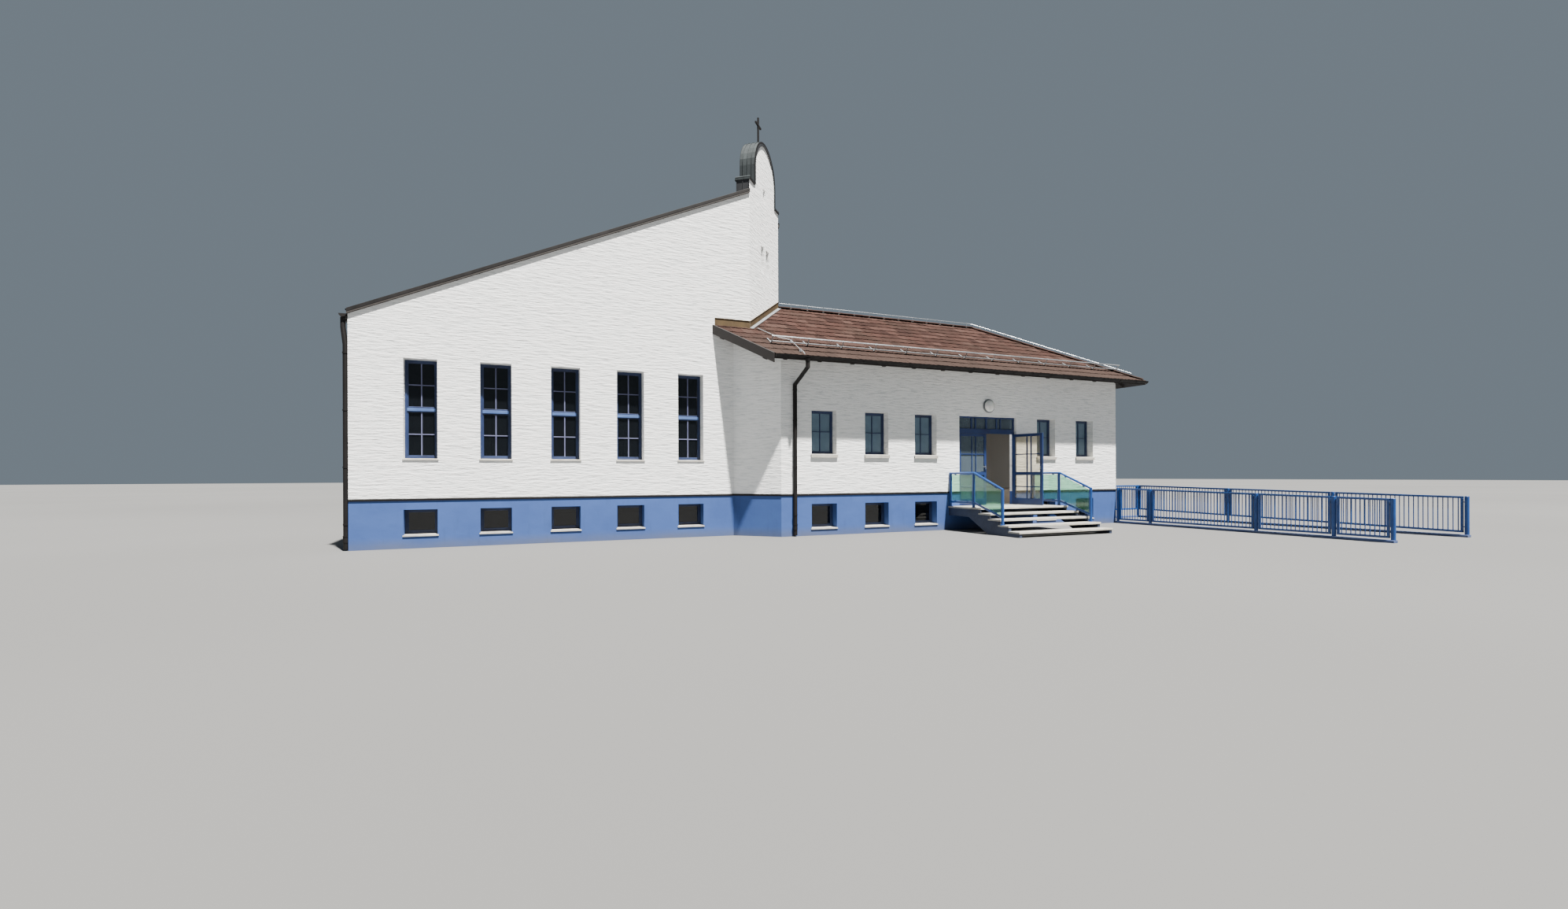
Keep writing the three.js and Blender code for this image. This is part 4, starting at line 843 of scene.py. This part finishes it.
# Lightning conductor along the ridge, down the hip and down to the gutter
def conductor():
    made = Build()
    foot_z, wire_z, stop = RIDGE_Z + 0.03, RIDGE_Z + 0.155, 0.07
    wire = [(NAVE_X[1] + 0.06, RIDGE_Y, wire_z), (RIDGE_END.x, RIDGE_Y, wire_z),
            (EAVE_E - stop * HIP_RUN, EAVE_F + stop * WING_HALF,
             WING_EAVE + stop * HIP_RUN * HIP_SLOPE + 0.12)]
    made.tube(rounded(wire, 0.3, 6), 0.005, 6)
    for x in every(1.25, 0.545, 14):
        made.tube([(x, RIDGE_Y, foot_z + 0.005), (x, RIDGE_Y, wire_z + 0.008)], 0.006, 6)
        made.lathe([(0, -0.012), (0.013, -0.008), (0.013, 0.008), (0, 0.012)], (x, RIDGE_Y, wire_z), sides=10)
        made.box(x - 0.022, x + 0.022, RIDGE_Y - 0.045, RIDGE_Y + 0.045, foot_z - 0.004, foot_z + 0.008)
    drop = [(0.02, EAVE_F - 0.08, WING_EAVE + 0.02), (0.02, EAVE_F + 0.02, WING_EAVE + 0.10)]
    drop += [(0.0, y, roof_z(y) + 0.085) for y in (-4.75, -4.45, -4.28)]
    drop += [(-0.26, -4.10, roof_z(-4.10) + 0.06), (-0.62, -3.56, roof_z(-3.56) + 0.06)]
    made.tube(rounded(drop, 0.08, 4), 0.009)
    for y in (-4.85, -4.28):
        made.box(-0.02, 0.04, y - 0.02, y + 0.02, roof_z(y) + 0.015, roof_z(y) + 0.095)
    corner = Vector((EAVE_E, EAVE_F))
    for share in (0.2, 0.4, 0.6, 0.8):
        at = corner + (RIDGE_END - corner) * share
        made.tube([(*at, roof_z(at.y) + 0.05), (*at, roof_z(at.y) + 0.14)], 0.006, 6)
    made.finish("lightning_conductor", ZINC, "dark_metal")


conductor()


# Flashing where the wing's roof meets the nave, and its apron on the tiles
def flashing():
    made = Build()
    high, tile_top, steps = 0.165, 0.030, 5
    y = NAVE_Y[0] - GAP
    low, top = roof_z(NAVE_Y[0]) + tile_top - 0.02, roof_z(NAVE_Y[0]) + tile_top + high
    for a, b in ((-1.78, -1.30), (-1.298, -0.817)):
        made.box(a, b, y - 0.003, y, low, top)
        made.box(a, b, y - 0.016, y, top, top + 0.012)
    for i in range(steps):
        s0 = CUT_LENGTH * i / steps + 0.001
        s1 = CUT_LENGTH * (i + 1) / steps + (0.010 if i < steps - 1 else 0)
        ends = cut_point(s0, -GAP), cut_point(s1, -GAP)
        thick = cut_in * -0.003 * (1 + 0.3 * (i % 2))
        made.add([(x + shift.x, y + shift.y, roof_z(y) + lift) for x, y in ends
                  for shift in (Vector((0, 0)), thick)
                  for lift in (tile_top - 0.02, tile_top + high)], BOX_FACES)
        made.sweep([(0.0, 0.0), (0.016, 0.0), (0.016, 0.012), (0.0, 0.012)],
                   [(x, y, roof_z(y) + tile_top + high) for x, y in ends])
    made.finish("wall_flashing", FLASHING, "dark_metal")

    apron = Build()
    near, far = -0.085, -0.004
    spots = [cut_point(*at) for at in ((0.0, far), (CUT_LENGTH - 0.03, far),
                                       (CUT_LENGTH - 0.03, near), (0.0, near))]
    apron.loft([[(x, y, roof_z(y) + tile_top + lift) for x, y in spots] for lift in (0, 0.004)])
    apron.tube([(x, y, roof_z(y) + tile_top + 0.003) for x, y in (spots[3], spots[2])], 0.012)
    apron.finish("valley_apron", GREY, "dark_metal", bevel=0.001)


flashing()


# Nave verges: a dark sheet over the tile ends and a weathered board under it
def nave_trims():
    sheet, board = Build(), Build()
    upper = [(-HAIR, -0.030), (0.011, -0.036), (0.009, 0.030), (0.002, 0.038), (-0.055, 0.038),
             (-0.055, 0.034), (-HAIR, 0.034)]
    lower = [(HAIR, 0.002 - NAVE_SLAB), (0.007, 0.002 - NAVE_SLAB), (0.007, -0.030), (HAIR, -0.030)]
    y, x1 = NAVE_Y[0] - NAVE_VERGE_OUT, CUT_NEAR.x - 0.004
    top = lambda x: NAVE_EAVE + NAVE_SLOPE * (x - NAVE_X[0])
    steps = 5
    for i in range(steps):
        a, b = (NAVE_LEFT_EAVE + (x1 - NAVE_LEFT_EAVE) * k / steps for k in (i, i + 1))
        lap = 0.001 * (i % 2)
        sheet.sweep([(p + lap, q + lap) for p, q in upper], [(a, y, top(a)), (b - 0.002, y, top(b - 0.002))])
    board.sweep(lower, [(x, y, top(x)) for x in (NAVE_LEFT_EAVE, x1)])
    route = [(NAVE_X[1] + NAVE_VERGE_OUT, v, NAVE_EAVE + NAVE_SLOPE * (NAVE_Y[1] - v))
             for v in (CUT_FAR.y + 0.004, NAVE_REAR_EAVE)]
    sheet.sweep(upper, route)
    board.sweep(lower, route)
    sheet.finish("nave_verge_sheet", DARK, "dark_metal")
    board.finish("nave_verge_board", WEATHERED, "timber")


nave_trims()


# Gable: sheets on its ends, edges, seams and shoulder rolls of the cap, a strip on the face, the cross's foot
ARCH_STEPS = 32


def arch_line(grow, foot, last=ARCH_STEPS):
    """The (along, up) points of the arch from the near shoulder to step last, moved out by grow."""
    radius = ARCH_RADIUS + grow
    points = [(MIDDLE - radius, foot)]
    for t in half_turn(ARCH_STEPS)[:last + 1]:
        points.append((MIDDLE - radius * math.cos(t), ARCH_SPRING + radius * math.sin(t)))
    return points if last < ARCH_STEPS else [*points, (MIDDLE + radius, foot)]


def gable_band(made, outer, inner, d0, d1):
    made.loft([[cut_point(a, d0, z), cut_point(p, d0, q), cut_point(p, d1, q), cut_point(a, d1, z)]
               for (a, z), (p, q) in zip(outer, inner)])


def gable_sheets():
    ends = Build()
    foot = NAVE_EAVE + NAVE_SLOPE * (CUT_NEAR.x - NAVE_X[0]) - 0.05
    for a0, a1, grow0, grow1, low in (
            (-0.007, -GAP, 0.010, 0, foot),
            (CUT_LENGTH + GAP, CUT_LENGTH + 0.007, 0, 0.010, roof_z(CUT_FAR.y) + 0.2)):
        ends.box(a0, a1, 0.004, GABLE_DEPTH - 0.004, low, SHOULDER, cut_point)
        for d in (0.004, 0.178, GABLE_DEPTH - 0.018):
            ends.box(a0 - grow0, a1 + grow1, d, d + 0.014, low, SHOULDER - 0.002, cut_point)
    ends.finish("gable_end_sheets", LEAD, "cap_metal", bevel=0.001)

    foot = SHOULDER + 0.051
    edge, strip, seams, roll = [Build() for _ in range(4)]
    lip, lip_out = 0.0255, 0.0300
    for d0, d1 in ((-lip_out, -lip), (GABLE_DEPTH + lip, GABLE_DEPTH + lip_out)):
        gable_band(edge, arch_line(0.054, foot), arch_line(0.004, foot), d0, d1)
        for a, b in ((-lip, SHOULDER_W - 0.052), (CUT_LENGTH - SHOULDER_W + 0.052, CUT_LENGTH + lip)):
            edge.box(a, b, d0, d1, SHOULDER - 0.012, SHOULDER + 0.053, cut_point)
    edge.finish("gable_cap_edge", DARK, "cap_metal")
    inner = [(a, z - 0.045 * math.sin(math.pi * min(1, max(0, i - 1) / 14)) ** 2)
             for i, (a, z) in enumerate(arch_line(-0.050, SHOULDER + 0.03, 24))]
    gable_band(strip, arch_line(0.003, SHOULDER + 0.03, 24), inner, -0.0290, -0.0260)
    strip.finish("gable_cap_strip", LEAD, "cap_metal")
    for d in (0.06, 0.185, 0.31):
        gable_band(seams, arch_line(0.064, foot), arch_line(0.0505, foot), d - 0.005, d + 0.005)
    seams.finish("gable_cap_seams", CAP, "cap_metal", smooth=True)
    for a in (0.012, CUT_LENGTH - 0.012):
        roll.tube([cut_point(a, d, SHOULDER + 0.066) for d in (-0.02, GABLE_DEPTH + 0.02)], 0.034, 16)
    roll.finish("gable_shoulder_rolls", CAP, "cap_metal", smooth=True)

    cross_foot = Build()
    cross_foot.lathe([(0, -0.005), (0.062, -0.005), (0.060, 0.010), (0.030, 0.030), (0.027, 0.075),
                      (0, 0.078)],
                     cut_point(MIDDLE, GABLE_DEPTH / 2, ARCH_SPRING + ARCH_RADIUS + 0.050), sides=24)
    cross_foot.finish("cross_foot", DARK, "dark_metal", smooth=True)


gable_sheets()


# Entrance: frame with top lights, and the two leaves
DOOR_MIDDLE = (DOOR_X[0] + DOOR_X[1]) / 2
FRAME_FACE = WING_Y[0] + 0.090
FRAME_DEEP = 0.060
FRAME_SIDES = (DOOR_X[0] + 0.040, DOOR_X[1] - 0.040)
TRANSOM = (2.752, 2.893)


def entrance():
    bars, glass, sill = Build(), Build(), Build()
    y0, y1 = FRAME_FACE, FRAME_FACE + FRAME_DEEP
    x0, x1 = FRAME_SIDES
    foot, head = ENTRANCE + 0.001, DOOR_HEAD - 0.001
    bars.box(DOOR_X[0] + 0.0015, x0, y0, y1, foot, head)
    bars.box(x1, DOOR_X[1] - 0.0015, y0, y1, foot, head)
    bars.box(x0, x1, y0, y1, DOOR_HEAD - 0.046, head)
    bars.box(x0, x1, y0 - 0.004, y1, *TRANSOM)
    bars.box(x0, x1, y0 - 0.016, y0 - 0.004, TRANSOM[0] + 0.105, TRANSOM[0] + 0.120)
    for offset, half, back in ((0, 0.030, 0), (-0.385, 0.022, 0.004), (0.385, 0.022, 0.004),
                               (-0.530, 0.022, 0.004), (0.530, 0.022, 0.004)):
        x = DOOR_MIDDLE + offset
        bars.box(x - half, x + half, y0 + back, y1 - 0.004, TRANSOM[1], DOOR_HEAD - 0.046)
    for a, b in ((x0, x0 + 0.018), (x1 - 0.018, x1)):
        bars.box(a, b, y0 + 0.010, y0 + 0.026, TRANSOM[1], DOOR_HEAD - 0.046)
    glass.box(x0 + 0.002, x1 - 0.002, y0 + 0.030, y0 + 0.036, TRANSOM[1] + 0.001, DOOR_HEAD - 0.047)
    sill.box(x0 + 0.001, x1 - 0.001, y0 - 0.085, y1, ENTRANCE + 0.0005, ENTRANCE + 0.0065)
    bars.finish("entrance_frame_bars", DOOR, "frame_blue", "entrance_frame", bevel=0.004)
    # The top lights use the glass with painted sky reflection
    glass.finish("entrance_top_lights", PAINTED_SKY_DOOR_GLASS, "frame_blue", "entrance_frame")
    sill.finish("entrance_threshold", GREY, "dark_metal", bevel=0.002)


entrance()


def leaf(name, side, body, turn):
    """A leaf drawn from its hinge axis; side is 1 where it runs towards +X, and turn is its angle at rest."""
    axis_x = DOOR_X[0] + 0.037 if side > 0 else DOOR_X[1] - 0.037
    axis_y = FRAME_FACE - 0.008
    cos, sin = math.cos(turn), math.sin(turn)
    place = lambda a, d, z: (axis_x + side * a * cos - d * sin, axis_y + side * a * sin + d * cos, z)
    start = 0.008
    end = start + (DOOR_X[1] - DOOR_X[0]) / 2 - 0.049
    foot, top = ENTRANCE + 0.010, TRANSOM[0] - 0.005
    near, far = 0.008, 0.058
    stile, rail, kick, bar, wide, narrow = 0.080, 0.080, 0.180, 0.026, 0.385, 0.110
    middle = (foot + 0.862, foot + 0.954)
    x0, x1 = start + stile, end - stile
    panel, glass, lock, grips, hinges, seal = [Build() for _ in range(6)]
    panel.border(start, end, near, far, foot, top, stile, kick, rail, place)
    panel.box(x0 + 0.03, x1 - 0.03, near - 0.003, near, foot + 0.03, foot + kick - 0.03, place)
    for x in (x0 + wide, x0 + wide + bar + narrow):
        panel.box(x, x + bar, near + 0.004, far - 0.004, foot + kick, top - rail, place)
    panel.box(x0, x1, near, far, *middle, place)
    for z in ((foot + kick + middle[0]) / 2, (middle[1] + top - rail) / 2):
        panel.box(x0, x1, near + 0.005, far - 0.005, z - bar / 2, z + bar / 2, place)
    glass.box(x0 - 0.004, x1 + 0.004, near + 0.021, near + 0.029,
              foot + kick - 0.004, top - rail + 0.004, place)
    level, grip = ENTRANCE + 1.096, end - 0.042
    for d0, d1 in ((near - 0.024, near - 0.0005), (far + 0.0005, far + 0.024)):
        lock.box(end - 0.072, end - 0.012, d0, d1, level - 0.075, level + 0.075, place)
    for d, way in ((near - 0.024, -1), (far + 0.024, 1)):
        out = d + way * 0.009
        grips.tube([place(grip, d, level + 0.02), place(grip, out, level + 0.02),
                    place(end - 0.150, out, level + 0.02)], 0.0055, 10)
        grips.lathe([(0, 0), (0.012, 0), (0.012, 0.006), (0, 0.007)], place(grip, d, level - 0.03),
                    Vector(place(0, way, 0)) - Vector(place(0, 0, 0)), 16)
    for z in (foot + 0.2, (foot + top) / 2, top - 0.3):
        hinges.lathe([(0, -0.055), (0.0072, -0.055), (0.0074, 0.055), (0, 0.055)], place(0, 0, z), sides=16)
        hinges.box(0.002, start + 0.020, -0.001, near - 0.0005, z - 0.049, z + 0.049, place)
    seal.box(start + 0.01, end - 0.01, near + 0.018, near + 0.032, foot - 0.005, foot + 0.001, place)
    panel.finish(f"{name}_panel", DOOR, "frame_blue", name, body, bevel=0.004)
    # The closed leaf's panes use the glass with painted sky reflection
    glass.finish(f"{name}_glass", PAINTED_SKY_DOOR_GLASS if side > 0 else LEAF_GLASS, "frame_blue", name, body)
    lock.finish(f"{name}_lock", FRAME, "frame_blue", None, body, bevel=0.006)
    grips.finish(f"{name}_handles", ZINC, "dark_metal", None, body, smooth=True)
    hinges.finish(f"{name}_hinges", DOOR, "frame_blue", None, body, bevel=0.001)
    seal.finish(f"{name}_seal", DARK, "dark_metal", None, body)


leaf("door_leaf_left", 1, "left_door", 0.0)
leaf("door_leaf_right", -1, "right_door", math.radians(102))


def lamp():
    ring, dome = Build(), Build()
    centre, outward = (DOOR_MIDDLE, WING_Y[0] - SKIN, 3.546), (0, -1, 0)
    ring.lathe([(0, 0), (0.188, 0.0), (0.199, 0.010), (0.200, 0.034), (0.190, 0.048), (0.172, 0.052),
                (0, 0.052)], centre, outward, 48)
    turns = [math.pi / 2 * k / 12 for k in range(12)]
    dome.lathe([(0, 0.053), *((0.170 * math.cos(t), 0.054 + 0.076 * math.sin(t)) for t in turns), (0, 0.131)],
               centre, outward, 48)
    ring.finish("wall_lamp_ring", GREY, "lamp", "wall_lamp", smooth=True)
    dome.finish("wall_lamp_dome", OPAL, "lamp", "wall_lamp", smooth=True)


lamp()


# Porch: nosings on the landing and treads, and the balustrades
def nosings():
    made = Build()
    section = [(HAIR, -0.044), (0.0150, -0.044), (0.0160, -0.004), (0.0120, 0.0045), (-0.0400, 0.0045),
               (-0.0400, HAIR), (HAIR, HAIR)]
    for k in range(5):
        y, z = LANDING_FRONT - TREAD * k, ENTRANCE - RISER * k
        made.sweep(section, [(PORCH_X[0] - 0.057, y, z), (PORCH_X[1] + 0.057, y, z)])
    made.finish("step_nosings", STONE, "concrete", bevel=0.002)


nosings()


def balustrade(name, x):
    rails, glass, clamps = Build(), Build(), Build()
    top, top_drop = ENTRANCE + 0.958, 0.437
    low, low_drop = ENTRANCE + 0.157, 0.346
    knee, run = -5.500, 1.080
    foot, wall = knee - run, WING_Y[0] - SKIN
    tube, post, half = 0.029, 0.038, 0.004
    for level, drop in ((top, top_drop), (low, low_drop)):
        rails.tube([(x, wall, level - tube), (x, knee, level - tube),
                    (x, foot - tube, level - drop - tube)], tube, 16)
    for y, z0, z1 in ((wall - post, ENTRANCE, top), (knee + post, ENTRANCE, top),
                      (foot, ENTRANCE - 3 * RISER, top - top_drop)):
        rails.tube([(x, y, z0 + 0.002), (x, y, z1 - tube * 0.6)], post, 18)
        rails.lathe([(0, 0.0015), (0.064, 0.0015), (0.062, 0.010), (0.040, 0.016), (0, 0.016)],
                    (x, y, z0), sides=20)
    at_low = lambda y: low - low_drop * max(0, knee - y) / run
    at_top = lambda y: top - 2 * tube - top_drop * max(0, knee - y) / run
    for a, b in ((wall - 2 * post - 0.022, knee + 2 * post + 0.022), (knee - 0.022, foot + post + 0.022)):
        sheet = [(a, at_low(a) + 0.015), (b, at_low(b) + 0.015),
                 (b, at_top(b) - 0.015), (a, at_top(a) - 0.015)]
        glass.prism(sheet, 2 * half, lambda y, z, d: (x - half + d, y, z))
        for level in (at_low, at_top):
            for y in (a + (b - a) * 0.18, a + (b - a) * 0.82):
                z = level(y)
                clamps.box(x - 0.018, x + 0.018, y - 0.024, y + 0.024, z - 0.022, z + 0.022)
    rails.finish(f"{name}_rails", RAIL, "rail_blue", name, smooth=True)
    glass.finish(f"{name}_glass", GREEN, "rail_blue", name, bevel=0.0015)
    clamps.finish(f"{name}_clamps", RAIL, "rail_blue", bevel=0.003)


balustrade("balustrade_left", PORCH_X[0])
balustrade("balustrade_right", PORCH_X[1])


# Fences: panels of bars in frames between round posts, falling towards -Y, on a low curb
def fence(name, place, start, end, posts, foot=None):
    rails, frames, curb = Build(), Build(), Build()
    top = lambda a: 0.988 + 0.0185 * (place(a, 0, 0)[1] - FENCE_END)
    low = (lambda a: foot) if foot else (lambda a: top(a) - 0.880)
    section = [(-0.080, 0.0), (0.080, 0.0), (0.080, 0.052), (0.072, 0.060), (-0.072, 0.060), (-0.080, 0.052)]
    curb.prism(section, end - start, lambda d, z, a: place(start + a, d, z))
    r, gap, half, wide, thin, spacing = 0.045, 0.020, 0.025, 0.050, 0.011, 0.097
    for at in posts:
        z = top(at)
        rails.lathe([(0, 0.061), (r, 0.061), (r, z - 0.004), (r * 0.8, z + 0.004), (0, z + 0.005)],
                    place(at, 0, 0), sides=24)
    ends = sorted([*posts, end + r + gap] if end - max(posts) > 1 else posts)

    def flat(a0, a1, side, z0, z1):
        frames.add([place(a, d, z) for a in (a0, a1) for d in (-side, side)
                    for z in (z0(a), z1(a))], BOX_FACES)

    for a, b in zip(ends, ends[1:]):
        p, q = a + r + gap, b - r - gap
        flat(p, q, half, lambda v: top(v) - wide, top)
        flat(p, q, half, low, lambda v: low(v) + wide)
        for v in (p, q - wide):
            flat(v, v + wide, half - 0.001, lambda v: low(v) + 0.002, lambda v: top(v) - 0.002)
        for v, way in ((p, -1), (q, 1)):
            for z in (low(v) + 0.14, top(v) - 0.14):
                rails.tube([place(v - way * 0.01, 0, z), place(v + way * (gap + 0.01), 0, z)], thin)
        count = round((q - p) / spacing)
        for i in range(1, count):
            v = p + (q - p) * i / count
            rails.tube([place(v, 0, low(v) + 0.03), place(v, 0, top(v) - 0.03)], thin)
    rails.finish(f"{name}_posts", RAIL, "rail_blue", name, smooth=True)
    frames.finish(f"{name}_frames", RAIL, "rail_blue", name, bevel=0.005)
    curb.finish(f"{name}_curb", PLINTH, "plinth", name, bevel=0.006)


fence("ramp_fence_near", lambda a, d, z: (FENCE_NEAR + d, a, z), FENCE_END, -4.4403,
      [-11.675, -10.520, -8.740, -5.640, -4.4853], 0.100)
fence("ramp_fence_far", lambda a, d, z: (FENCE_FAR + d, a, z), FENCE_END, -2.600,
      [-11.675, -8.845, -5.920, -2.645])
fence("ramp_fence_back", lambda a, d, z: (a, FENCE_BACK + d, z), 11.3603, 14.5197, [11.4053])


# Studio: pale floor, sun, a light in the hall and the camera
def put(name, data, location=(0, 0, 0), look=None):
    obj = bpy.data.objects.new(name, data)
    obj.location = location
    if look:
        obj.rotation_mode = "QUATERNION"
        obj.rotation_quaternion = look
    bpy.context.scene.collection.objects.link(obj)
    return obj


def studio():
    bpy.ops.mesh.primitive_plane_add(size=400, location=(2, -5, -0.0015))
    floor = bpy.context.object
    floor.name = "studio_floor"
    s = Surface("studio_floor", (0.115, 0.115, 0.113), 0.9)
    s.color(s.ramp(s.noise(0.05, detail=2), (0.3, (0.108, 0.108, 0.106)), (0.7, (0.122, 0.122, 0.12))))
    floor.data.materials.append(s.mat)

    world = bpy.data.worlds.new("studio")
    bpy.context.scene.world = world
    world.use_nodes = True
    sky = world.node_tree.nodes["Background"]
    sky.inputs["Color"].default_value = (0.70, 0.85, 1.0, 1)
    sky.inputs["Strength"].default_value = 0.24

    key = bpy.data.lights.new("key", "SUN")
    key.energy, key.angle, key.color = 21.0, math.radians(1.5), (1.0, 0.97, 0.92)
    put("key", key, look=Vector((-0.11, 0.365, -1.0)).to_track_quat("-Z", "Y"))
    hall = bpy.data.lights.new("hall", "AREA")
    hall.energy, hall.shape, hall.size, hall.size_y = 85, "RECTANGLE", 1.6, 1.2
    put("hall", hall, (6.3, -3.0, 3.9))

    lens = bpy.data.cameras.new("camera")
    lens.sensor_width, lens.lens, lens.shift_y = 36, 15.42, 0.01352
    lens.clip_start, lens.clip_end = 0.1, 400
    yaw, roll = 0.4091, 0.00334
    look = Vector((math.sin(yaw), math.cos(yaw), 0)).to_track_quat("-Z", "Y")
    camera = put("camera", lens, (-7.014, -20.008, 1.544), look @ Quaternion((0, 0, 1), -roll))
    bpy.context.scene.camera = camera


studio()
